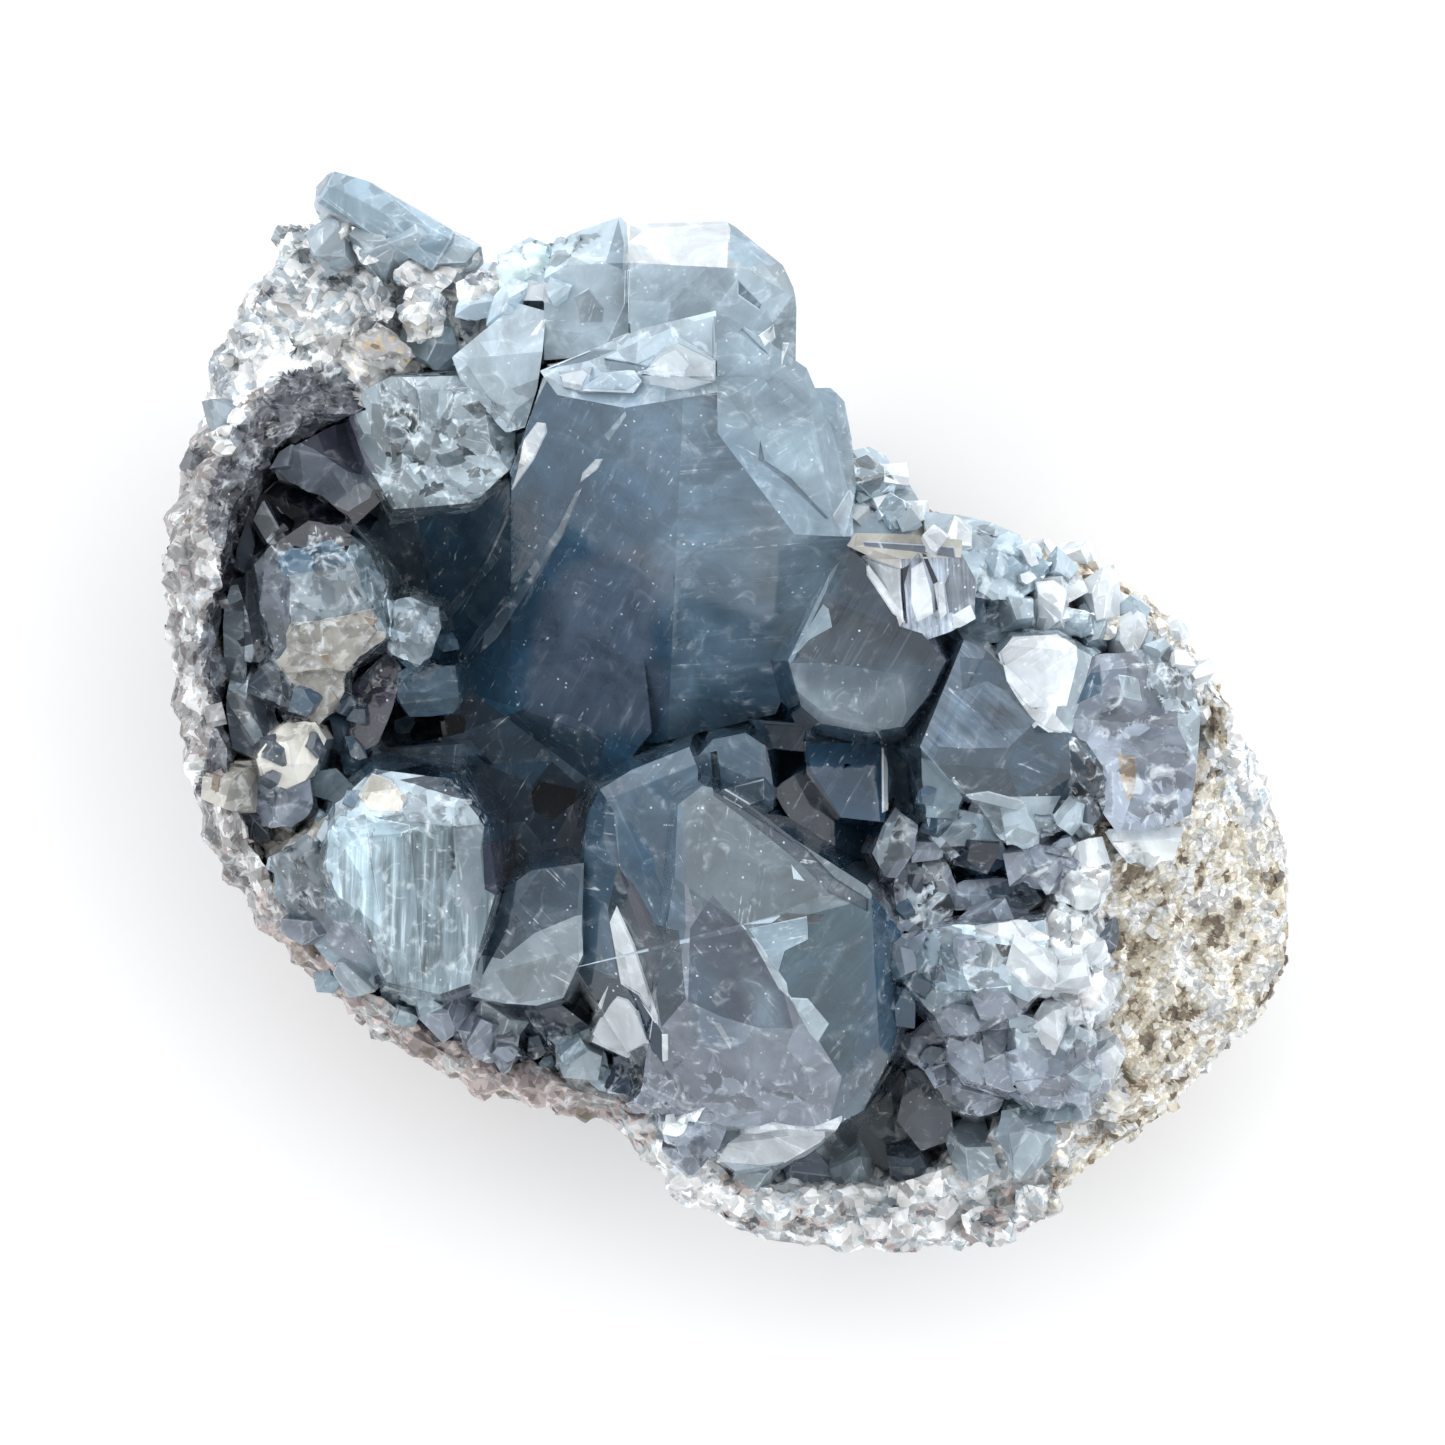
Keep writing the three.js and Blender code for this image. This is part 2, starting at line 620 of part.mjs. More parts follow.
// The two large crystals at the lower middle, and what lies around them.
const lowerMiddle = [
  {
    outline: [[-13.7, -14], [-13, -9], [-12, -6.8], [-9.8, -5.4], [-4.2, -3], [-3.2, -5], [-3.6, -20],
      [-4.4, -27], [-6.2, -33], [-8.2, -31], [-13.9, -22], [-14, -17]],
    at: [-8, -11],
    z: 36,
    lean: [0.16, 0.12],
    folds: [
      [-10.4, -13.4, -5, -23.4, 0.8],
      [-12.8, -22, -11.4, -6.6, 1.2],
      [-11.6, -7.6, -4, -4.6, 0.8],
      [-12, -23, -6, -28, 0.5],
    ],
  },
  {
    outline: [[-4.9, -8.6], [-2.6, -7], [0, -7.8], [4.6, -11.2], [8, -14.2], [12.6, -16.4],
      [14.7, -20], [15.1, -25.6], [13.6, -31], [11.2, -35.2], [9.2, -36.4], [1, -36.2], [-6.5, -33.8],
      [-4.8, -27]],
    at: [8, -24],
    z: 38,
    lean: [-0.42, 0.28],
    folds: [
      [1.2, -19, 7.4, -29, 0.8],
      [0, -19.4, 8, -17.4, 0.42],
      [12.2, -17, 13, -31, 1.3],
      [6.6, -35, 12, -30.4, 1],
      [-4.6, -32.8, 6, -35, 0.9],
      [-4.6, -8, -3.6, -28, 1],
    ],
  },
  // Dark blocks between the lower prism and the crystals above it.
  {
    outline: [[6.4, -2.4], [13, -2.8], [13.9, -5.6], [13.4, -9.6], [9.4, -9.2], [6.4, -5.2]],
    z: 32,
    lean: [-0.1, -0.2],
    folds: [[6.4, -4.2, 13.6, -4.6, 0.5], [12.6, -3, 13, -9.4, 0.9]],
  },
  {
    outline: [[3.4, -6.8], [6.4, -4.4], [9.4, -8.4], [12.8, -9.4], [12.4, -15.8], [8.6, -14.6],
      [5, -9.6]],
    z: 29,
    lean: [-0.3, 0.1],
    folds: [[8.8, -8, 9.4, -14.8, 0.8]],
  },
  {
    outline: [[-3.4, -4], [-2, -2.2], [1, -1.6], [3, -3], [3.4, -7.4], [2.8, -10], [0, -8.4],
      [-2.6, -6.8]],
    z: 34,
    lean: [0, 0.25],
    folds: [[-2.4, -6.4, 3.2, -5.4, 0.6], [-2, -2.4, -1.6, -7, 0.5], [2.4, -2.4, 2.8, -9, 0.8]],
  },
  {
    outline: [[1.4, -0.4], [6.4, -0.8], [13.6, -1.4], [13, -3.4], [6.2, -3.4], [2.8, -3]],
    z: 30,
    lean: [0, 0.2],
  },
  // The small white plate under the left prism, and the lumps beside it.
  {
    outline: [[-12.9, -29.6], [-12, -27.2], [-11, -25.2], [-9.8, -25.4], [-8.8, -27.2], [-7.6, -30.4],
      [-9.8, -31]],
    z: 26,
    lean: [0.1, 0.3],
  },
  {
    outline: [[-16.4, -29.6], [-13.2, -28.4], [-11.6, -31], [-11, -33.6], [-14, -34.6], [-16, -32.4]],
    z: 22.4,
    lean: [0, 0.3],
    folds: [[-16, -31.4, -11.4, -32, 0.5]],
  },
  {
    outline: [[-11, -31], [-7.6, -30.4], [-6.4, -33.4], [-8, -35.4], [-11, -34]],
    z: 23,
    lean: [-0.1, 0.2],
  },
  // The white plate and the grey block at the bottom.
  {
    outline: [[-2.4, -39.6], [-0.6, -36.8], [3, -35.6], [9.7, -36], [7.4, -38.6], [3.6, -40.8],
      [0, -41.3]],
    z: 24,
    lean: [0, 0.2],
    folds: [[-2, -39, 8.6, -37.4, 0.6]],
  },
  {
    outline: [[-7, -34.2], [-2.6, -34.8], [-0.4, -36.8], [-1.8, -40], [-4.6, -39.8], [-6.4, -37.4]],
    z: 25,
    lean: [0, 0.25],
    folds: [[-6.4, -36.8, -1.4, -35.6, 0.5]],
  },
  // The dark face in the shaded hollow at the bottom right.
  {
    outline: [[7.6, -38], [11.6, -31], [14.4, -31], [18.4, -35], [19.4, -38], [18.6, -40],
      [18.6, -42], [14, -42.6], [9.4, -42]],
    z: 16,
    lean: [0.1, 0.15],
    foot: 9,
    folds: [[14, -31, 15, -42, 0.4]],
  },
];

// The centre right: the curved crystal, the striped one and the pale ones behind them.
const right = [
  {
    outline: [[4.7, 4.8], [6.2, 0.8], [8, -0.5], [12.2, -1.1], [14.9, -0.6], [17.2, 2], [18.6, 4.6],
      [15, 6.6], [11.4, 12.6], [10.4, 15], [8.7, 13]],
    at: [10, 8],
    z: 43,
    lean: [-0.25, 0.05],
    folds: [[5, 4.8, 16, 4.4, 0.55], [6.8, 1.8, 15, 0.8, 0.9], [6, 6.6, 9, 13, 0.7]],
  },
  // The striped crystal, with a beam across its top.
  {
    outline: [[11.2, 14.2], [14.8, 14.4], [19.8, 14.8], [21.4, 12], [21.3, 8.6], [19.2, 7.4],
      [17, 6.6], [15.2, 6.2], [13.8, 8.4], [11.5, 12]],
    at: [17, 11.4],
    z: 43.5,
    spread: -0.02,
    lean: [0.1, 0.3],
    folds: [[14.7, 14, 15.3, 7, 0.6], [18.8, 14.6, 19.2, 8, 0.5], [14, 8.4, 21, 9.4, 0.6]],
  },
  {
    outline: [[9.9, 15], [10.6, 16.1], [15, 16], [20.1, 15.5], [20.1, 13.9], [12.4, 13.7]],
    z: 45.4,
    spread: -0.1,
    lean: [0, 0.2],
    foot: 30,
    folds: [[10, 14.9, 20, 14.7, 0.8]],
  },
  {
    outline: [[9.4, 23.4], [12, 24.2], [13.6, 23.3], [14.5, 21.8], [14.2, 19], [9.4, 18]],
    z: 35,
    spread: -0.1,
    lean: [-0.2, -0.2],
    folds: [[11, 22.4, 14.4, 20.8, 0.6]],
  },
  {
    outline: [[9.8, 19.4], [13, 20.8], [15.7, 20.9], [16.9, 18.4], [17.1, 15], [12.4, 13.6],
      [9.8, 15]],
    z: 36,
    spread: -0.1,
    lean: [0, -0.1],
    folds: [[12.4, 18, 16.8, 18.4, 0.7], [15.6, 20, 16, 15, 0.8]],
  },
  {
    outline: [[16.6, 18.3], [20, 18], [23, 17.3], [25.2, 16.1], [28.7, 13.7], [27.4, 11.2], [25, 10],
      [20.6, 10.6], [18, 13]],
    at: [21, 15],
    z: 36.5,
    spread: -0.1,
    lean: [-0.05, -0.2],
    folds: [[24, 17, 21.6, 11, 0.55], [17, 17, 24, 16, 0.7]],
  },
  {
    outline: [[20.6, 11.2], [25, 10.8], [26.5, 8.4], [24.4, 6.6], [20.4, 6.2], [18.8, 7.8]],
    z: 35,
    lean: [-0.1, 0.1],
    folds: [[22.6, 11, 22.4, 6.4, 0.6]],
  },
  {
    outline: [[26.2, 11.8], [28.6, 13.6], [30.8, 13.2], [31.6, 11], [29, 9.6]],
    z: 33,
    spread: -0.1,
    lean: [-0.1, -0.2],
    folds: [[28, 13.4, 30, 10, 0.6]],
  },
  {
    outline: [[25.8, 8.8], [29, 9.8], [32, 9], [32.2, 7.2], [28, 7]],
    z: 34,
    spread: 0,
    lean: [0, -0.1],
    folds: [[26.4, 8.4, 32, 8.2, 0.6]],
  },
  // The bright facet and the dark striated crystal below it.
  {
    outline: [[23.4, 5.4], [24.8, 6.9], [28.8, 7], [31.7, 5.1], [30.6, 2.6], [29.9, -1.5], [27, -1.6],
      [24.6, 1.6]],
    at: [27.4, 3.4],
    z: 39,
    lean: [-0.12, 0.12],
    folds: [[24.2, 6.2, 31, 5.6, 0.9], [29.6, 7, 28.6, 0, 0.6]],
  },
  {
    outline: [[16.6, -3], [18.4, 0.4], [20.4, 6.5], [22.8, 5.7], [24.6, 3.6], [29.6, -1.4],
      [32.2, -3.6], [33.2, -5.8], [32.6, -8.3], [28, -8.7], [21.4, -7.4], [19, -5.6]],
    at: [24, -2.6],
    z: 38.6,
    lean: [-0.22, 0.24],
    folds: [
      [18.6, -1.4, 22.4, 5.6, 0.6],
      [19, -4.4, 32, -5.4, 0.55],
      [26.4, 2.6, 31.6, -5, 0.7],
      [17.6, -4, 22, 5, 0.3],
    ],
  },
  {
    outline: [[31.5, 5.2], [35, 5.5], [38.6, 6.1], [40.6, 4.4], [41.7, 0], [41, -9], [38, -10.5],
      [34, -10.5], [32.8, -8.8], [30.2, -1.4], [29.4, 1]],
    at: [35.6, 1.8],
    z: 36.6,
    spread: -0.04,
    lean: [-0.1, -0.05],
    folds: [[30.2, -0.3, 41.4, -1.2, 0.4], [39.4, 6, 39.8, -9, 0.8], [31.6, 3.8, 40, 4.8, 0.9]],
  },
  // The pale slabs that step down beside it.
  {
    outline: [[16.6, -3], [18.4, -4.8], [20.4, -7.4], [19.6, -9.1], [17.2, -9.1], [16.8, -6.5]],
    z: 35,
    lean: [0.1, 0.2],
  },
  {
    outline: [[17.2, -9.3], [20, -8.4], [22.4, -9], [24.8, -13.2], [22.4, -14.2], [19.4, -13],
      [17.8, -11.2]],
    z: 33,
    lean: [-0.1, 0.2],
    folds: [[18.2, -11.8, 24, -11.6, 0.5]],
  },
  {
    outline: [[13.7, -2.6], [16.4, -2.9], [17, -8.6], [15.8, -9.6], [13.9, -8.6]],
    z: 26,
    lean: [0.3, 0],
  },
  {
    outline: [[21.6, -7.6], [24, -6.9], [26.6, -8], [29.6, -9], [29.4, -10.4], [26, -12.2], [24, -11]],
    z: 34,
    lean: [0, 0.1],
    folds: [[22.2, -8.4, 29, -9.8, 0.5]],
  },
  {
    outline: [[28, -8.2], [30, -6.4], [32.2, -6.8], [33, -8.4], [31.8, -10.2], [29, -10]],
    z: 35,
    folds: [[28.6, -7.8, 32.4, -8, 0.5], [29.2, -6.6, 29.8, -10, 0.8], [31.4, -6, 31.6, -10, 0.8]],
  },
  {
    outline: [[24.4, -13.8], [25.8, -12], [30, -11], [31, -13], [29.4, -15.6], [26.8, -15.2]],
    z: 33.5,
    lean: [0.1, 0],
    folds: [[25, -13.4, 30.6, -13.6, 0.6]],
  },
  {
    outline: [[19.6, -15.4], [22.4, -14.6], [26.2, -14.9], [27.7, -16.6], [26.4, -17.8], [22.4, -17.7],
      [19.4, -17.4]],
    z: 30,
    lean: [0, 0.2],
    folds: [[19.6, -16.2, 27.4, -16.2, 0.6]],
  },
  {
    outline: [[19.6, -12.6], [24.6, -13.2], [24.4, -15], [20.4, -15.6]],
    z: 22,
    lean: [0.1, 0],
  },
  {
    outline: [[14.5, -8.6], [16.2, -10], [16, -12.2], [14.4, -14.4], [13.4, -14.4], [12.3, -12.4],
      [13.4, -10]],
    z: 33,
    lean: [-0.1, 0],
    folds: [[13, -11.6, 16, -11, 0.6]],
  },
  {
    outline: [[16, -11.6], [18.6, -12.4], [19.8, -15.4], [19.2, -18.4], [17, -19.8], [15, -19.4],
      [14.2, -15.4]],
    z: 31.5,
    lean: [-0.1, 0.1],
    folds: [[15, -15.6, 19.4, -14.8, 0.5], [17.6, -12, 17.2, -19.6, 0.5]],
  },
  {
    outline: [[28.2, -12.2], [31, -11.8], [33.4, -14], [32, -17.4], [29, -16.6]],
    z: 33.5,
    lean: [-0.1, 0.1],
    folds: [[30, -12, 30.6, -17, 0.7]],
  },
  {
    outline: [[33, -10.2], [37, -10.2], [40.4, -10], [39.4, -13], [35, -13.6]],
    z: 32,
    spread: -0.1,
    lean: [0, 0.1],
    folds: [[34, -11.4, 40, -11.2, 0.5]],
  },
];

// The lavender-grey blocks at the lower right.
const lowerRight = [
  {
    outline: [[14.4, -22.6], [15, -21], [17, -19.6], [20, -19], [23.4, -18.8], [27.5, -18.6],
      [28, -24], [25, -26.6], [22, -28], [19, -28], [15.2, -24]],
    at: [21, -22.4],
    z: 36,
    lean: [0.05, 0.1],
    folds: [
      [18.6, -19, 17.6, -26, 0.7],
      [17, -24.6, 27, -25, 0.7],
      [19, -20.4, 27.6, -20, 0.6],
      [24.4, -19, 24.8, -26, 0.3],
    ],
  },
  {
    outline: [[15.2, -29.8], [17.4, -27.4], [19.2, -28], [19.7, -31.4], [17, -32], [15.7, -30.8]],
    z: 27,
    lean: [0.1, 0.1],
    folds: [[15.6, -30.4, 19.4, -29.6, 0.5]],
  },
  {
    outline: [[19, -27.8], [22.4, -27.4], [26.2, -27.2], [26, -33.6], [24.6, -34], [21, -32.8],
      [19.4, -31]],
    z: 31,
    lean: [0.15, 0.1],
    folds: [[21.4, -27.4, 22.6, -33.4, 0.5]],
  },
  {
    outline: [[24.6, -27], [30, -27.6], [32.5, -29.6], [32.5, -33.2], [31, -35.3], [27, -35.2],
      [25, -33.4]],
    z: 32,
    lean: [-0.05, 0.1],
    folds: [[25.4, -33, 32, -32, 0.8], [30.4, -28, 31, -34, 0.8]],
  },
  {
    outline: [[17, -32], [19.6, -31.6], [21.2, -33], [24.6, -34.2], [23.6, -35.7], [22, -36.3],
      [19.4, -35.2]],
    z: 26,
    lean: [0, 0.2],
    folds: [[17.6, -33, 24, -34.8, 0.5]],
  },
  {
    outline: [[15.6, -33], [17.4, -33.4], [19.6, -35.4], [20, -38.6], [17, -39.6], [15, -37]],
    z: 20,
    lean: [0.1, 0.2],
    folds: [[16.8, -33, 17.8, -39, 0.5]],
  },
  {
    outline: [[18.6, -40], [20.2, -38.6], [22.8, -37.6], [24.3, -39.4], [23.6, -41.6], [21.6, -43.2],
      [20, -43], [19.2, -41.6]],
    z: 25,
    lean: [0, 0.2],
    spread: -0.05,
    folds: [[19.8, -39, 23.8, -40.6, 0.4], [20, -41.8, 23.4, -41.4, 0.7]],
  },
  {
    outline: [[23.4, -38.4], [24.2, -35.8], [26.2, -35.3], [28.2, -36], [28.6, -38.2], [26.6, -40.2],
      [24.6, -39.6]],
    z: 26,
    lean: [0, 0.1],
    spread: -0.05,
    folds: [[25.8, -35.4, 26, -40, 0.6]],
  },
  {
    outline: [[28.6, -17.4], [31.6, -18], [32.6, -21.6], [29.6, -22.4], [27.4, -20]],
    z: 34,
    lean: [0, 0.1],
    folds: [[30, -17.6, 30.4, -22.2, 0.6]],
  },
  {
    outline: [[28.4, -23], [32, -22.4], [33.6, -26], [31.6, -27.6], [28.8, -26.6]],
    z: 34,
    lean: [0.05, 0.1],
    folds: [[30, -23, 31.4, -27.4, 0.6]],
  },
];

// The massive crystal that lines the hollow and joins every root: a plug as wide as the hollow.
function plug() {
  const section = [
    new THREE.Vector2(0, 8),
    new THREE.Vector2(1, 8),
    new THREE.Vector2(1, BED_EDGE),
    new THREE.Vector2(0.6, BED_HEIGHT),
    new THREE.Vector2(0, BED_HEIGHT),
  ];
  const lathe = new THREE.LatheGeometry(section, 30);
  const place = lathe.attributes.position;
  for (let i = 0; i < place.count; i++) {
    const out = Math.hypot(place.getX(i), place.getZ(i));
    const angle = Math.atan2(place.getX(i), place.getZ(i));
    const reach = out * rimAt((angle * 180) / Math.PI)[1] * 0.97;
    place.setXYZ(i, reach * Math.cos(angle), reach * Math.sin(angle), place.getY(i));
  }
  return solid(lathe);
}
const bed = plug();

// Small crystals grown at random: each is a five-sided block with a slanting end face and a fold.
function smallCrystal(next, x, y, size, z, foot, spread) {
  const turn = next() * Math.PI;
  const outline = [];
  for (let k = 0; k < 5; k++) {
    const a = turn + (k * 2 * Math.PI) / 5;
    const reach = size * (0.8 + 0.4 * next());
    outline.push([x + reach * Math.cos(a), y + reach * Math.sin(a) * 0.85]);
  }
  const slant = next() * 2 * Math.PI;
  const fold = next() * Math.PI;
  const off = 0.25 * size;
  const fx = x + off * Math.sin(fold);
  const fy = y - off * Math.cos(fold);
  return {
    outline,
    at: [x, y],
    z,
    lean: [0.35 * Math.cos(slant), 0.35 * Math.sin(slant)],
    foot,
    spread,
    folds: [[fx, fy, fx + Math.cos(fold), fy + Math.sin(fold), 0.9]],
  };
}

// Small crystals scattered over the tops of the rim: between two angles and two shares of the
// way from the rim's inner edge to its outer edge.
function frost({ seed, count, from, to, near, far, small, large, tall }) {
  const next = seeded(seed);
  const made = [];
  for (let i = 0; i < count; i++) {
    const degrees = from + (to - from) * next();
    const share = near + (far - near) * next();
    const rim = rimAt(degrees);
    const radius = rim[1] * (1 - share) + rim[0] * share;
    const z = rim[3] * (1 - share) + rim[2] * share;
    const angle = (degrees * Math.PI) / 180;
    const size = small + (large - small) * next();
    const high = z + tall * (0.5 + next());
    const [x, y] = [radius * Math.cos(angle), radius * Math.sin(angle)];
    made.push(smallCrystal(next, x, y, size, high, z - 3, -0.1));
  }
  return made;
}

// Short crystals on the hollow's lining, seen in the gaps between the large ones.
function lining({ seed, count }) {
  const next = seeded(seed);
  const made = [];
  for (let i = 0; i < count; i++) {
    const degrees = 360 * next();
    const angle = (degrees * Math.PI) / 180;
    const share = 0.55 + 0.42 * Math.sqrt(next());
    const radius = Math.min(rimAt(degrees)[1], 44) * share;
    const size = 2.4 + 2.2 * next();
    const high = 14 + 24 * (share - 0.55) + 4 * next();
    const [x, y] = [radius * Math.cos(angle), radius * Math.sin(angle)];
    made.push(smallCrystal(next, x, y, size, high, 10, 0.1));
  }
  return made;
}

const rimCrystals = [
  // The spear at the top left, and the crystals below it.
  {
    outline: [[-38, 45.4], [-37.8, 47.2], [-36.2, 48.8], [-35, 48.2], [-27.6, 43.2], [-29.4, 42.4],
      [-33, 43], [-37.4, 44]],
    at: [-33, 45.6],
    z: 35,
    lean: [0, -0.3],
    foot: 26,
    spread: -0.3,
    folds: [[-38, 45.4, -28, 43.4, 0.7], [-36.6, 49, -36, 44, 0.6]],
  },
  {
    outline: [[-27.6, 41.2], [-26.6, 43.1], [-25, 43.5], [-23.6, 43], [-22.4, 40.8], [-24.4, 39]],
    z: 34,
    spread: -0.12,
    lean: [0, -0.3],
    foot: 24,
    folds: [[-27.4, 41.8, -22.6, 41.6, 0.7]],
  },
  {
    outline: [[-41.6, 42.6], [-41, 44], [-38.8, 44.2], [-38.2, 42], [-40.4, 40.8]],
    z: 33.5,
    spread: -0.12,
    lean: [0.1, -0.2],
    foot: 26,
    folds: [[-41, 42.6, -38.2, 42.4, 0.6]],
  },
  {
    outline: [[-38.8, 43], [-37.4, 44.1], [-35, 44.3], [-34.2, 42.6], [-36.8, 41.6]],
    z: 34.5,
    spread: -0.12,
    lean: [0, 0.2],
    foot: 26,
    folds: [[-38.2, 43.2, -34.6, 43.2, 0.7]],
  },
  {
    outline: [[-34.2, 42.2], [-33, 44.4], [-31.8, 44], [-31, 41], [-33.4, 40.2]],
    z: 35,
    spread: -0.12,
    lean: [0.1, 0],
    foot: 26,
    folds: [[-33, 44, -32.6, 40.4, 0.6]],
  },
  {
    outline: [[-32, 43.6], [-29.6, 44], [-28.2, 42], [-30.4, 40.6]],
    z: 34.6,
    spread: -0.12,
    lean: [0, 0.1],
    foot: 26,
    folds: [[-31.8, 42.4, -28.4, 42.6, 0.5]],
  },
  {
    outline: [[-30.8, 39.6], [-28, 41.2], [-25.4, 39.6], [-26.6, 38], [-30.4, 38.2]],
    z: 35,
    spread: -0.12,
    lean: [0, 0.2],
    foot: 26,
    folds: [[-30.4, 39.8, -25.6, 39.4, 0.6]],
  },
  {
    outline: [[-33.6, 37.6], [-32, 39.2], [-30.6, 38], [-30.8, 35.4], [-32.8, 35]],
    z: 35.4,
    spread: -0.12,
    lean: [0.1, 0],
    foot: 26,
    folds: [[-32, 39, -32.2, 35, 0.6]],
  },
  {
    outline: [[-24.8, 38.6], [-22.4, 40], [-20.4, 39], [-21.6, 36.4], [-24, 36]],
    z: 36,
    spread: -0.12,
    lean: [0, 0.1],
    foot: 24,
    folds: [[-24.6, 38, -20.8, 38.2, 0.6]],
  },
  {
    outline: [[-30.4, 36.4], [-28, 38], [-25.6, 37], [-26, 33.6], [-29.4, 33.4]],
    z: 36,
    spread: -0.12,
    lean: [-0.1, 0.1],
    foot: 26,
    folds: [[-28, 38, -27.4, 33.4, 0.6]],
  },
  {
    outline: [[-34, 33.6], [-32, 35.2], [-29.6, 33.6], [-28.4, 32], [-30, 30.8], [-33.2, 31.6]],
    z: 35.4,
    spread: -0.12,
    lean: [0.1, 0.1],
    foot: 26,
    folds: [[-33.4, 33.6, -29, 32, 0.6]],
  },
  // Small crystals on the rim at the right and along the bottom.
  {
    outline: [[32.4, 8.2], [36, 9.4], [38.8, 7.4], [38, 6.6], [33, 6.8]],
    z: 31.6,
    spread: -0.12,
    lean: [0, -0.1],
    foot: 24,
    folds: [[33, 8.2, 38.6, 7.8, 0.6]],
  },
  {
    outline: [[42.2, 3], [43.6, 2], [45, -1], [43.6, -4.4], [42, -1.6]],
    z: 29.6,
    spread: -0.12,
    lean: [-0.2, 0],
    foot: 20,
    folds: [[43, 3, 43.2, -4, 0.6]],
  },
  {
    outline: [[30.6, 12.6], [33.6, 12], [34, 9.8], [31.8, 9.2]],
    z: 30.6,
    spread: -0.12,
    lean: [-0.1, -0.2],
    foot: 22,
    folds: [[31, 11.4, 34, 11, 0.6]],
  },
  {
    outline: [[11, -44.2], [15.6, -45], [16, -47.2], [12, -47.6]],
    z: 21.4,
    spread: -0.12,
    lean: [0, 0.1],
    foot: 14,
    folds: [[11, -45.6, 16, -46, 0.6]],
  },
  {
    outline: [[20.4, -45.2], [24, -44.4], [25.8, -46.2], [24, -47.8], [21, -47.2]],
    z: 20.6,
    spread: -0.12,
    lean: [0, 0.2],
    foot: 13,
    folds: [[20.6, -46, 25.6, -46, 0.6]],
  },
  {
    outline: [[25.4, -43], [28.6, -42.6], [29.4, -44.8], [27.4, -46.4], [25.2, -45.2]],
    z: 21.6,
    spread: -0.12,
    lean: [0.1, 0.2],
    foot: 13,
    folds: [[26.6, -42.8, 27, -46, 0.6]],
  },
  ...frost({
    seed: 11,
    count: 9,
    from: 132,
    to: 166,
    near: 0.1,
    far: 0.9,
    small: 1.5,
    large: 2.8,
    tall: 1.5,
  }),
  ...frost({
    seed: 29,
    count: 5,
    from: -42,
    to: 24,
    near: 0.08,
    far: 0.5,
    small: 1.5,
    large: 2.6,
    tall: 1.2,
  }),
];

// A crystal's plan and height with the clearance added, for cutting its neighbours.
function fatter(spec) {
  const [cx, cy] = middle(spec.outline);
  const outline = spec.outline.map(([x, y]) => {
    const more = 1 + (GAP * 1.6) / Math.hypot(x - cx, y - cy);
    return [cx + (x - cx) * more, cy + (y - cy) * more];
  });
  const at = spec.at ?? [cx, cy];
  return { ...spec, outline, at, z: spec.z + GAP * 1.6, foot: spec.foot - GAP };
}

// The largest connected body of a solid, without the loose splinters of a cut.
function mainBody(cut) {
  return cut.decompose().reduce((best, piece) => (piece.volume() > best.volume() ? piece : best));
}

// All the pieces of a list joined to a first one.
function joined(first, specs) {
  return specs.reduce((sum, spec) => sum.add(crystal(spec)), first);
}

const rindSolid = mainBody(joined(bowl(0), rimCrystals));
const clearance = joined(bowl(GAP), rimCrystals.map(fatter));
const grown = [
  ...great,
  ...back,
  ...left,
  ...lowerLeft,
  ...lowerMiddle,
  ...right,
  ...lowerRight,
  ...lining({ seed: 5, count: 16 }),
];
const crystalSolid = mainBody(joined(bed, grown).subtract(clearance));

// The middle of the underside of both solids together, which becomes the origin.
const whole = new THREE.Box3();
for (const body of [rindSolid, crystalSolid]) {
  const { min, max } = body.boundingBox();
  whole.expandByPoint(new THREE.Vector3(...min));
  whole.expandByPoint(new THREE.Vector3(...max));
}
const centre = whole.getCenter(new THREE.Vector3());

// A solid as a named mesh, moved so that the origin is that point.
function part(name, body, colour, roughness) {
  const made = body.translate([-centre.x, -centre.y, -whole.min.z]).getMesh();
  const geometry = new THREE.BufferGeometry();
  geometry.setAttribute("position", new THREE.BufferAttribute(made.vertProperties, 3));
  geometry.setIndex(new THREE.BufferAttribute(made.triVerts, 1));
  geometry.computeVertexNormals();
  const material = new THREE.MeshStandardMaterial({ color: colour, roughness, metalness: 0 });
  const mesh = new THREE.Mesh(geometry, material);
  mesh.name = name;
  return mesh;
}

const group = new THREE.Group();
group.add(part("rind", rindSolid, 0xcfcac0, 0.9));
group.add(part("crystals", crystalSolid, 0x7f98a8, 0.12));

export default group;
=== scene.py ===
import math
import random

import bmesh
import bpy
import numpy as np
from mathutils import Matrix, Vector, noise
from mathutils.bvhtree import BVHTree


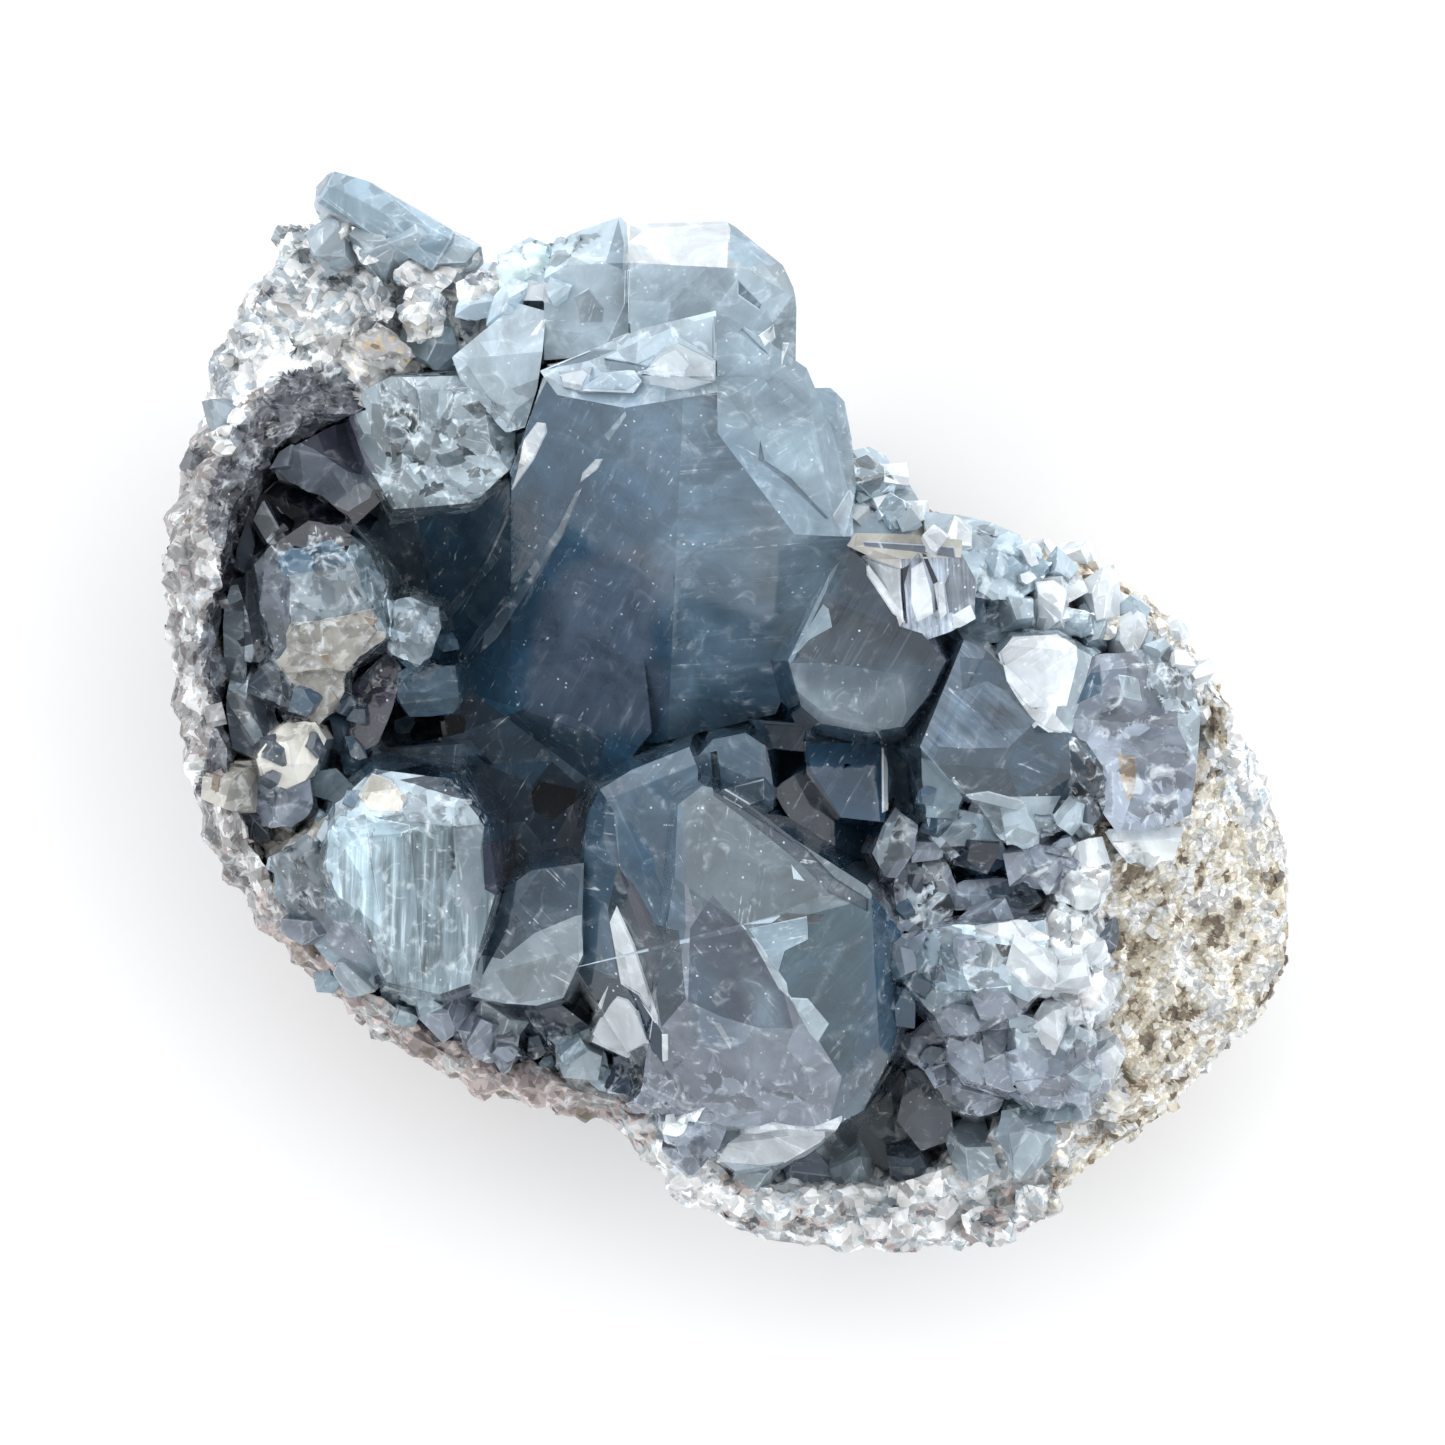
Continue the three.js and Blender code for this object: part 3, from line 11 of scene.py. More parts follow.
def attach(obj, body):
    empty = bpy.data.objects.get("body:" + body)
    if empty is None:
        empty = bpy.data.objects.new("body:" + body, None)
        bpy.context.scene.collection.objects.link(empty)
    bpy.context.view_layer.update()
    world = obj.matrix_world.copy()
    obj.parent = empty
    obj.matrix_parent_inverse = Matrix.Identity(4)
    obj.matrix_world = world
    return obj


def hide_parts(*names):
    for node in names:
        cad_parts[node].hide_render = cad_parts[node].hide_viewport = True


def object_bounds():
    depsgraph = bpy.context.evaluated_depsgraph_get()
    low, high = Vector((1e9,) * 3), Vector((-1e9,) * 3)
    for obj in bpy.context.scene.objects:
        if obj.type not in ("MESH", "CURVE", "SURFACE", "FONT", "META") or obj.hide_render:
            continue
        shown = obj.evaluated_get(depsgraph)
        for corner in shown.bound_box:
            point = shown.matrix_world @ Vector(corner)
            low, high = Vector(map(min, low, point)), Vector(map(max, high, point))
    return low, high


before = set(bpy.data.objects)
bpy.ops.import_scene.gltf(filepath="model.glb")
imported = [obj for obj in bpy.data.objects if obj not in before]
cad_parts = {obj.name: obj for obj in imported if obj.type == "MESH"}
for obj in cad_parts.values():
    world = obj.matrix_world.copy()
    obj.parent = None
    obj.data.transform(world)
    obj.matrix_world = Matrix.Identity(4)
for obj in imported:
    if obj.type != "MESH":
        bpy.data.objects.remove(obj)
cad_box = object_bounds()

# The camera, the floor and the light.
# The specimen lies on its back on a plain pale floor and is seen from straight above through a
# long lens. The light is a soft studio one, brightest from beyond the top of the picture and
# dim straight above, where the camera is in its way.
PICTURE_WIDTH = 0.13005
PICTURE_MIDDLE = (-0.00063, -0.00047)
CRYSTAL_LEVEL = 0.03
CAMERA_DISTANCE = 0.95
SENSOR = 36.0

camera_data = bpy.data.cameras.new("camera")
camera_data.sensor_width = SENSOR
camera_data.lens = SENSOR * CAMERA_DISTANCE / PICTURE_WIDTH
camera_data.clip_start = 0.01
camera_data.clip_end = 20
camera = bpy.data.objects.new("camera", camera_data)
camera.location = (PICTURE_MIDDLE[0], PICTURE_MIDDLE[1], CRYSTAL_LEVEL + CAMERA_DISTANCE)
bpy.context.scene.collection.objects.link(camera)
bpy.context.scene.camera = camera


def new_material(name):
    material = bpy.data.materials.new(name)
    material.use_nodes = True
    return material, material.node_tree, material.node_tree.nodes["Principled BSDF"]


def add(tree, kind, values=None, **settings):
    """A node with its settings, and its inputs set to values or joined to other nodes' outputs."""
    node = tree.nodes.new(kind)
    for key, value in settings.items():
        setattr(node, key, value)
    for key, value in (values or {}).items():
        if isinstance(value, bpy.types.NodeSocket):
            tree.links.new(value, node.inputs[key])
        else:
            node.inputs[key].default_value = value
    return node


floor_mesh = bmesh.new()
bmesh.ops.create_grid(floor_mesh, x_segments=1, y_segments=1, size=1.5)
floor_data = bpy.data.meshes.new("floor")
floor_mesh.to_mesh(floor_data)
floor_mesh.free()
floor = bpy.data.objects.new("floor", floor_data)
bpy.context.scene.collection.objects.link(floor)
floor_material, _, floor_shader = new_material("floor_paper")
floor_shader.inputs["Base Color"].default_value = (0.93, 0.93, 0.93, 1)
floor_shader.inputs["Roughness"].default_value = 0.9
floor_data.materials.append(floor_material)

world = bpy.data.worlds.new("studio")
bpy.context.scene.world = world
world.use_nodes = True
sky = world.node_tree
way = add(sky, "ShaderNodeTexCoord")
parts = add(sky, "ShaderNodeSeparateXYZ", {0: way.outputs["Generated"]})
beyond = add(sky, "ShaderNodeMath", {0: parts.outputs["Y"], 1: 0.95}, operation="MULTIPLY")
aside = add(
    sky,
    "ShaderNodeMath",
    {0: parts.outputs["X"], 1: 0.2, 2: beyond.outputs[0]},
    operation="MULTIPLY_ADD",
)
fall = add(
    sky,
    "ShaderNodeMapRange",
    {0: aside.outputs[0], 1: -0.7, 2: 0.8, 3: 1.0, 4: 1.72},
    interpolation_type="SMOOTHSTEP",
)
overhead = add(
    sky,
    "ShaderNodeMapRange",
    {0: parts.outputs["Z"], 1: 0.86, 2: 0.975, 3: 1.16, 4: 0.18},
    interpolation_type="SMOOTHSTEP",
)
shaded = add(
    sky, "ShaderNodeMath", {0: fall.outputs[0], 1: overhead.outputs[0]}, operation="MULTIPLY"
)
sky.links.new(shaded.outputs[0], sky.nodes["Background"].inputs["Strength"])
sky.nodes["Background"].inputs["Color"].default_value = (0.975, 0.985, 1, 1)
world.cycles.sampling_method = "NONE"
bpy.context.scene.view_settings.view_transform = "Standard"
bpy.context.scene.cycles.max_bounces = 12
bpy.context.scene.cycles.transmission_bounces = 12


# The rind.
# A bowl of granular rock that the crystals grew in, off-white with beige and brown grains, and
# darker and browner along the left and the bottom. Its open side is crusted with crystals of a
# few millimetres that grew into each other, raised on a finer mesh.
PLAN_SHIFT = (0.49, 0.21)


def merged_copy(node):
    """A copy of one of the solids, with its faces joined where they meet."""
    mesh = bmesh.new()
    mesh.from_mesh(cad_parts[node].data)
    bmesh.ops.remove_doubles(mesh, verts=mesh.verts, dist=2e-6)
    return mesh


def refine(mesh, wanted, rounds=7):
    """Splits every edge that is longer than wanted says it may be."""
    for _ in range(rounds):
        long_edges = [e for e in mesh.edges if e.calc_length() > wanted(e)]
        if not long_edges:
            return
        bmesh.ops.subdivide_edges(mesh, edges=long_edges, cuts=1)
        many_sided = [f for f in mesh.faces if len(f.verts) > 3]
        bmesh.ops.triangulate(mesh, faces=many_sided)


def keep_inside(mesh):
    """Holds every point inside the box of the solids, and off the floor."""
    low, high = cad_box
    for v in mesh.verts:
        for axis in range(3):
            v.co[axis] = min(max(v.co[axis], low[axis]), high[axis])


def new_piece(name, mesh, materials, replaced=None, sharp_degrees=None):
    """A mesh as a piece that rides on the body. Flat-faced unless it has an angle to smooth to."""
    keep_inside(mesh)
    if sharp_degrees is not None:
        limit = math.radians(sharp_degrees)
        for e in mesh.edges:
            e.smooth = e.calc_face_angle(0) < limit
        for f in mesh.faces:
            f.smooth = True
    data = bpy.data.meshes.new(name)
    mesh.to_mesh(data)
    mesh.free()
    for material in materials:
        data.materials.append(material)
    piece = bpy.data.objects.new(name, data)
    bpy.context.scene.collection.objects.link(piece)
    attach(piece, "root")
    if replaced:
        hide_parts(replaced)
    return piece


def rgb(red, green, blue):
    """A colour as it looks on a screen, turned into light."""
    return tuple(
        c / 3294.6 if c < 10.3 else ((c / 255 + 0.055) / 1.055) ** 2.4 for c in (red, green, blue)
    )


def on_picture(spot):
    """Where a point of the model lies in the picture, in millimetres from its middle."""
    return spot.x * 1000 - PLAN_SHIFT[0], spot.y * 1000 - PLAN_SHIFT[1]


# Each tone is a colour and how cloudy the mineral is: 1 lets no light through.
ROCK_TONES = {
    "chalk": (rgb(240, 241, 240), 0.88),
    "cream": (rgb(222, 217, 204), 0.95),
    "sand": (rgb(198, 190, 172), 1.0),
    "tan": (rgb(168, 154, 132), 1.0),
    "umber": (rgb(120, 108, 94), 1.0),
    "ash": (rgb(196, 197, 196), 0.92),
    "cinder": (rgb(150, 150, 150), 0.95),
    "slate": (rgb(104, 108, 114), 0.9),
    "glassy": (rgb(196, 208, 216), 0.75),
    "smoky": (rgb(150, 158, 168), 0.7),
    "dusk": (rgb(84, 88, 98), 0.8),
    "coal": (rgb(46, 50, 58), 0.9),
    "rosy": (rgb(186, 172, 168), 0.95),
    "plum": (rgb(150, 138, 138), 0.9),
}

# Which tones the rock has in each place, in the order in which they lie next to each other,
# and how much of each.
ROCK_MIXES = {
    "left": [
        ("coal", 1.6), ("slate", 2.4), ("umber", 1.4), ("cinder", 5),
        ("plum", 2), ("ash", 5), ("glassy", 1), ("chalk", 1.2),
    ],
    "bottom": [("slate", 0.4), ("plum", 1), ("rosy", 3), ("ash", 4), ("glassy", 4), ("chalk", 12)],
    "edge": [("umber", 2), ("plum", 4), ("rosy", 5), ("cinder", 3), ("ash", 2)],
    "right": [("umber", 1.2), ("tan", 2.2), ("sand", 5), ("cream", 6), ("chalk", 6), ("ash", 2)],
    "top": [("smoky", 1.0), ("ash", 2), ("glassy", 4), ("chalk", 10), ("glassy", 4)],
    "middle": [("umber", 0.6), ("tan", 1.2), ("cinder", 3), ("ash", 4), ("cream", 2), ("chalk", 2)],
    # The dark mix is painted shade, for the shaded hollow and groove inside the left rim.
    "dark": [("coal", 2), ("dusk", 6), ("slate", 3), ("smoky", 1.5)],
    "spur": [("smoky", 1), ("glassy", 3)],
}

# Special places of the rock: mix, and the corners of the place in the picture.
ROCK_PLACES = [
    ("spur", [(-38.5, 45.6), (-36.5, 50.5), (-27.5, 44.6), (-29.5, 41.8)]),
    # The two dark places, the hollow and the groove inside the left rim, are given painted shade.
    ("dark", [
        (-45.5, 21), (-43, 28.4), (-39, 29.6), (-35, 28.6), (-32, 25), (-36, 20), (-41, 18),
    ]),
    ("dark", [(-46, 20), (-42.5, 20), (-42, 8), (-44, -4), (-45.8, -4), (-46.4, 6)]),
    ("middle", [(-38, 34.5), (-33, 35), (-29, 33), (-28, 30), (-31, 28), (-38, 30)]),
    ("top", [(40, 7), (45, 5), (52, -1), (52, -9), (47, -9), (44, -5), (41.5, 0)]),
    ("middle", [(27, -33), (36, -33), (37, -38), (31, -42), (26, -38)]),
]


def by_place(mix, place, scatter):
    """One name from a mix: places near each other mostly get the same or the next one."""
    total = sum(share for _, share in mix)
    level = 0.5 + 0.75 * noise.noise(place * 0.4) + 0.35 * noise.noise(place * 1.1) + scatter
    level = min(max(level, 0), 0.999) * total
    for name, share in mix:
        level -= share
        if level < 0:
            return name
    return mix[-1][0]


def within(x, y, corners):
    """Whether a place lies inside an outline."""
    inside = False
    for (x1, y1), (x2, y2) in zip(corners, corners[1:] + corners[:1]):
        if (y1 > y) != (y2 > y) and x < x1 + (y - y1) * (x2 - x1) / (y2 - y1):
            inside = not inside
    return inside


def rock_place(x, y, open_side=True):
    """Which mix of tones the rock has at a place in the picture."""
    for name, corners in ROCK_PLACES:
        if open_side and within(x, y, corners):
            return name
    if x > 29 - max(0, y - 4) * 0.3:
        return "right"
    if y < (-25 if x > -12 else -17):
        return "bottom" if x > -12 else "edge"
    return "top" if y > 27 else "left"


crust_crystals = {}


def crust(place, size):
    """How high a crust of small crystals grown into each other stands at a place, and numbers
    from 0 to 1 that are the same all over each crystal. Each one has the shape of a cube that
    lies its own way."""
    best, owner = -9, None
    place = place / size
    for middle in noise.voronoi(place)[1][:3]:
        name = middle.to_tuple(3)
        if name not in crust_crystals:
            own = noise.cell_vector(middle * 97)
            along = (own - Vector((0.5, 0.5, 0.5))).normalized()
            across = along.cross(Vector((0.36, 0.48, 0.8))).normalized()
            crust_crystals[name] = (own, along, across, along.cross(across))
        own, along, across, third = crust_crystals[name]
        away = place - middle
        reach = max(abs(away.dot(along)), abs(away.dot(across)), abs(away.dot(third)))
        height = 0.7 + 0.3 * own.x - reach
        if height > best:
            best, owner = height, own
    return best, owner


OPEN_SIDE_EDGE = 0.00064
OUTSIDE_EDGE = 0.0013
HIDDEN_EDGE = 0.004


def rock_fineness(edge):
    """The longest edge that the rock may have: short on the open side, long under the base."""
    normal, height = edge.verts[0].normal, edge.verts[0].co.z
    if normal.z > 0.1 and height > 0.01:
        return OPEN_SIDE_EDGE
    return OUTSIDE_EDGE if normal.z > -0.95 else HIDDEN_EDGE


rind_mesh = merged_copy("rind")
refine(rind_mesh, rock_fineness, 9)
rind_mesh.normal_update()
rock_tone = rind_mesh.faces.layers.float_color.new("tone")
for layer in ("facet", "busy", "lined"):
    rind_mesh.faces.layers.float.new(layer)
rock_facet = rind_mesh.faces.layers.float["facet"]
rock_busy = rind_mesh.faces.layers.float["busy"]
no_cloud = rind_mesh.verts.layers.float_color.new("cloud")


def streaks(place):
    """Uneven streaks that run up the slope at the right, from 0 to 1."""
    across, up_slope = place.x * 0.8 - place.y * 0.6, place.x * 0.6 + place.y * 0.8
    along = Vector((across, up_slope * 0.35, place.z * 0.5))
    return 0.5 + noise.noise(along * 0.7) * 0.5 + noise.noise(along * 2.2) * 0.45


RELIEF = 0.8
GRAIN_WIDTH = 1.2
CRUST_WIDTH = 2.9
FINE_CRUST_WIDTH = 1.1
CRUST_MIDDLE = 0.42
moves = []
for v in rind_mesh.verts:
    place = v.co * 1000
    v[no_cloud] = (0, 0, 0, 0)
    if v.co.z < 0.0002:
        moves.append(0)
        continue
    x, y = on_picture(v.co)
    where = rock_place(x, y)
    open_side = min(max((v.normal.z + 0.25) / 0.4, 0), 1) * min(max((place.z - 6) / 6, 0), 1)
    if where == "spur":
        moves.append(noise.noise(place * 0.9) * 0.0001)
        continue
    if open_side == 0:
        height = 0
    elif where == "right":
        height = 0.6 * (crust(place, GRAIN_WIDTH)[0] - 0.35) + 0.4 * (streaks(place) - 0.75)
    else:
        height = 2.6 * (crust(place, CRUST_WIDTH)[0] - CRUST_MIDDLE)
        height += 0.7 * (crust(place, FINE_CRUST_WIDTH)[0] - CRUST_MIDDLE)
    lump = noise.noise(place * 0.35) * 0.4 + noise.noise(place * 0.9) * 0.3
    grain = noise.noise(place * 1.9) * 0.2 + noise.noise(place * 4.1) * 0.12
    moves.append((lump + grain + height * open_side) * RELIEF / 1000)
for v, move in zip(rind_mesh.verts, moves):
    v.co += v.normal * move
for face in rind_mesh.faces:
    middle = face.calc_center_median()
    place = middle * 1000
    x, y = on_picture(middle)
    wander = noise.noise(place * 0.12) * 5
    shown = middle.z > 0.016 and face.normal.z > -0.3
    where = rock_place(x + wander, y + wander, shown)
    if shown and rock_place(x, y) in ("spur", "dark"):
        where = rock_place(x, y)
    if where == "right":
        _, own = crust(place, GRAIN_WIDTH)
        scatter = (own.y - 0.5) * 0.7 + (streaks(place) - 0.6) * 0.6 + (x - 38) * 0.02
    else:
        _, own = crust(place, CRUST_WIDTH)
        scatter = (own.y - 0.5) * 0.55
    colour, haze = ROCK_TONES[by_place(ROCK_MIXES[where], place, scatter)]
    light = 0.82 + 0.3 * own.z
    face[rock_tone] = (*(min(0.92, c * light) for c in colour), haze)
    face[rock_facet] = own.z
    face[rock_busy] = 0.15 if where == "spur" else 0.75
    if face.normal.z > -0.1 and place.z > 8 and where != "right":
        face.material_index = 1


def mineral(name, fine, coarse, facet_tilt, glint_share, roughness, murk):
    """Cloudy to clear mineral. The tone of each place comes from the mesh. Broken facets, from
    coarse where the mesh is calm to fine where it is busy, veils, growth lines and painted
    glints, white flecks that stand in for sparkles of light, are laid over it."""
    material, tree, shader = new_material(name)

    def math_node(operation, *values, clamp=False):
        node = add(
            tree,
            "ShaderNodeMath",
            dict(enumerate(values)),
            operation=operation,
            use_clamp=clamp,
        )
        return node.outputs[0]

    def ramp(value, low, high, start=0.0, end=1.0):
        limits = {0: value, 1: low, 2: high, 3: start, 4: end}
        return add(tree, "ShaderNodeMapRange", limits).outputs[0]

    spot = add(tree, "ShaderNodeTexCoord").outputs["Object"]
    tone = add(tree, "ShaderNodeAttribute", attribute_name="tone")
    cloud = add(tree, "ShaderNodeAttribute", attribute_name="cloud")
    facet = add(tree, "ShaderNodeAttribute", attribute_name="facet").outputs["Fac"]
    busy = add(tree, "ShaderNodeAttribute", attribute_name="busy").outputs["Fac"]
    lined = add(tree, "ShaderNodeAttribute", attribute_name="lined").outputs["Fac"]
    turned = add(
        tree,
        "ShaderNodeVectorRotate",
        {"Vector": spot, "Angle": math_node("MULTIPLY", facet, 2 * math.pi)},
        rotation_type="Z_AXIS",
    ).outputs[0]

    squeezed = add(tree, "ShaderNodeMapping", {"Vector": turned, "Scale": (1.0, 0.45, 0.7)})
    cell_scale = ramp(busy, 0.1, 1.2, 1 / coarse, 1 / fine)
    at_cells = {"Vector": squeezed.outputs[0], "Scale": cell_scale}
    cells = add(tree, "ShaderNodeTexVoronoi", at_cells)
    seams = add(tree, "ShaderNodeTexVoronoi", at_cells, feature="DISTANCE_TO_EDGE")
    cell_random = add(tree, "ShaderNodeSeparateColor", {0: cells.outputs["Color"]}).outputs
    from_middle = add(
        tree,
        "ShaderNodeVectorMath",
        {0: squeezed.outputs[0], 1: cells.outputs["Position"]},
        operation="SUBTRACT",
    )
    lean = add(
        tree,
        "ShaderNodeVectorMath",
        {0: cells.outputs["Color"], 1: (0.5, 0.5, 0.5)},
        operation="SUBTRACT",
    )
    slope = add(
        tree,
        "ShaderNodeVectorMath",
        {0: from_middle.outputs[0], 1: lean.outputs[0]},
        operation="DOT_PRODUCT",
    )
    broken = math_node("MULTIPLY", math_node("MULTIPLY", slope.outputs["Value"], busy), facet_tilt)

    drawn = add(tree, "ShaderNodeMapping", {"Vector": turned, "Scale": (1.0, 0.03, 0.2)})
    lines = add(
        tree,
        "ShaderNodeTexNoise",
        {"Vector": drawn.outputs[0], "Scale": 1300.0, "Detail": 4.0, "Roughness": 0.65},
    ).outputs["Fac"]
    height = math_node("MULTIPLY_ADD", lines, math_node("MULTIPLY", lined, 0.00012), broken)
    relief = add(tree, "ShaderNodeBump", {"Height": height, "Strength": 1.0, "Distance": 1.0})
    tree.links.new(relief.outputs[0], shader.inputs["Normal"])

    veil = add(
        tree,
        "ShaderNodeTexNoise",
        {"Vector": spot, "Scale": 170.0, "Detail": 8.0, "Roughness": 0.62, "Distortion": 0.8},
    ).outputs["Fac"]
    wisps = add(
        tree,
        "ShaderNodeTexNoise",
        {"Vector": spot, "Scale": 420.0, "Detail": 6.0, "Roughness": 0.6, "Distortion": 1.6},
    ).outputs["Fac"]
    uneven = ramp(cell_random[0], 0, 1, -0.6, 0.65)
    light = math_node("MULTIPLY_ADD", uneven, busy, ramp(veil, 0.3, 0.72, 0.82, 1.22))
    light = math_node("MULTIPLY_ADD", ramp(lines, 0.3, 0.7, -0.5, 0.5), lined, light)
    own = add(
        tree,
        "ShaderNodeMix",
        {"Factor": cloud.outputs["Alpha"], "A": tone.outputs["Color"], "B": cloud.outputs["Color"]},
        data_type="RGBA",
    )
    lit = add(
        tree,
        "ShaderNodeVectorMath",
        {0: own.outputs["Result"], "Scale": light},
        operation="SCALE",
    )
    seam = ramp(seams.outputs["Distance"], 0.0, 0.1, 0.4, 0.0)
    seam = math_node("MULTIPLY", seam, ramp(wisps, 0.45, 0.6))
    wisp = ramp(wisps, 0.58, 0.72, 0.0, 0.7)
    # White flecks in the colour, mostly where the veils are thick: painted glints.
    grains = add(tree, "ShaderNodeTexVoronoi", {"Vector": spot, "Scale": 2600.0})
    glint_pick = add(tree, "ShaderNodeSeparateColor", {0: grains.outputs["Color"]}).outputs[1]
    chosen = ramp(glint_pick, 1 - glint_share, 1.001 - glint_share)
    painted_glint = math_node("MULTIPLY", chosen, ramp(grains.outputs["Distance"], 0.2, 0.35, 1.0, 0.0))
    white = math_node("MULTIPLY", math_node("ADD", seam, wisp), busy, clamp=True)
    veiled_glints = math_node("MULTIPLY", painted_glint, ramp(veil, 0.45, 0.58, 0.02, 0.8))
    across = add(
        tree,
        "ShaderNodeMapping",
        {"Vector": turned, "Rotation": (0, 0, 0.9), "Scale": (1.0, 0.04, 0.3)},
    )
    marks = add(
        tree,
        "ShaderNodeTexNoise",
        {"Vector": across.outputs[0], "Scale": 2400.0, "Detail": 2.0, "Roughness": 0.5},
    ).outputs["Fac"]
    scratch = math_node("MULTIPLY", ramp(marks, 0.66, 0.74, 0.0, 0.55), ramp(wisps, 0.45, 0.6))
    white = math_node("ADD", white, math_node("ADD", veiled_glints, scratch), clamp=True)
    ridges = math_node("MULTIPLY", lined, 0.5)
    white = math_node("MULTIPLY_ADD", ramp(lines, 0.6, 0.72), ridges, white, clamp=True)
    colour = add(
        tree,
        "ShaderNodeMix",
        {"Factor": white, "A": lit.outputs[0], "B": (0.8, 0.86, 0.9, 1)},
        data_type="RGBA",
    )
    tree.links.new(colour.outputs["Result"], shader.inputs["Base Color"])

    haze = math_node("ADD", tone.outputs["Alpha"], ramp(veil, 0.3, 0.75, -0.12, 0.14))
    clearness = math_node("SUBTRACT", 1.0, math_node("ADD", haze, white, clamp=True), clamp=True)
    tree.links.new(clearness, shader.inputs["Transmission Weight"])
    shader.inputs["Roughness"].default_value = roughness
    shader.inputs["IOR"].default_value = 1.62
    if murk:
        absorb = add(tree, "ShaderNodeVolumeAbsorption", {0: (0.55, 0.72, 0.84, 1), 1: murk})
        tree.links.new(absorb.outputs[0], tree.nodes["Material Output"].inputs["Volume"])
    return material


def granular_rock(name):
    """Packed grains: each cell has its own lightness, with dark gaps and fine pits."""
    material, tree, shader = new_material(name)
    spot = add(tree, "ShaderNodeTexCoord").outputs["Object"]
    tone = add(tree, "ShaderNodeAttribute", attribute_name="tone")
    cells = add(tree, "ShaderNodeTexVoronoi", {"Vector": spot, "Scale": 1500.0})
    gaps = add(
        tree,
        "ShaderNodeTexVoronoi",
        {"Vector": spot, "Scale": 1500.0},
        feature="DISTANCE_TO_EDGE",
    )
    fine = add(tree, "ShaderNodeTexNoise", {"Vector": spot, "Scale": 1500.0, "Detail": 6.0})
    broad = add(tree, "ShaderNodeTexNoise", {"Vector": spot, "Scale": 160.0, "Detail": 5.0})
    grain = add(tree, "ShaderNodeSeparateColor", {0: cells.outputs["Color"]})
    light = add(tree, "ShaderNodeMapRange", {0: grain.outputs[0], 3: 0.75, 4: 1.25})
    edge = add(
        tree, "ShaderNodeMapRange", {0: gaps.outputs["Distance"], 1: 0.0, 2: 0.12, 3: 0.75, 4: 1.0}
    )
    patch = add(
        tree, "ShaderNodeMapRange", {0: broad.outputs["Fac"], 1: 0.3, 2: 0.7, 3: 0.8, 4: 1.2}
    )
    both = add(
        tree, "ShaderNodeMath", {0: light.outputs[0], 1: edge.outputs[0]}, operation="MULTIPLY"
    )
    all_three = add(
        tree, "ShaderNodeMath", {0: both.outputs[0], 1: patch.outputs[0]}, operation="MULTIPLY"
    )
    lit = add(
        tree,
        "ShaderNodeVectorMath",
        {0: tone.outputs["Color"], "Scale": all_three.outputs[0]},
        operation="SCALE",
    )
    tree.links.new(lit.outputs[0], shader.inputs["Base Color"])
    height = add(
        tree,
        "ShaderNodeMath",
        {0: gaps.outputs["Distance"], 1: 0.5, 2: fine.outputs["Fac"]},
        operation="MULTIPLY_ADD",
    )
    relief = add(
        tree, "ShaderNodeBump", {"Height": height.outputs[0], "Strength": 0.8, "Distance": 0.0005}
    )
    tree.links.new(relief.outputs[0], shader.inputs["Normal"])
    shader.inputs["Roughness"].default_value = 0.7
    return material


rock_material = granular_rock("granular_rock")
crust_material = mineral("crust", 0.0007, 0.003, 0.5, 0.05, 0.12, 0)


# The crystals.
# Clear to cloudy grey-blue crystal, grown together into one mass. Each face has its own finish:
# deep blue low in the hollow, pale and milky at the top, greyer at the lower right. Each finish
# is a colour, how cloudy it is, how broken, how lined, and the way its lines run in degrees.
FINISHES = {
    "white": (rgb(224, 232, 238), 0.84, 0.4, 0.08, None),
    "pale": (rgb(184, 203, 215), 0.76, 0.4, 0.08, None),
    "milk": (rgb(166, 182, 192), 0.84, 0.3, 0.05, None),
    "ice": (rgb(138, 158, 168), 0.8, 0.6, 1.1, 88),
    "mist": (rgb(134, 156, 170), 0.72, 0.3, 0.12, None),
    "steel": (rgb(98, 124, 144), 0.66, 0.3, 0.15, None),
    "scored": (rgb(104, 124, 142), 0.7, 0.2, 0.9, 138),
    "slate": (rgb(74, 98, 118), 0.64, 0.28, 0.15, None),
    "deep": (rgb(54, 86, 110), 0.62, 0.1, 0.25, 60),
    "night": (rgb(40, 66, 88), 0.6, 0.12, 0.25, 60),
    # A near-black tone for pits, slits and the crystals in the shaded hollow at the left: painted
    # shade.
    "painted_shade": (rgb(26, 36, 50), 0.55, 0.2, 0.05, None),
    "rose": (rgb(84, 98, 116), 0.66, 0.3, 0.1, None),
    "plum": (rgb(76, 80, 96), 0.62, 0.3, 0.05, None),
    "lavender": (rgb(142, 153, 168), 0.76, 0.45, 0.05, None),
    "smoke": (rgb(88, 98, 110), 0.62, 0.3, 0.05, None),
    "striped": (rgb(120, 130, 142), 0.7, 0.2, 1.6, 94),
    "shell": (rgb(206, 204, 196), 0.9, 0.6, 0.1, None),
    "teal": (rgb(56, 78, 90), 0.62, 0.25, 0.1, None),
    "clear": (rgb(176, 194, 204), 0.55, 1.1, 0.1, None),
    "glitter": (rgb(150, 164, 174), 0.8, 1.5, 0.1, None),
    "sparkle": (rgb(80, 96, 110), 0.7, 1.5, 0.1, None),
    "tan": (rgb(150, 134, 112), 1.0, 0.6, 0.05, None),
}

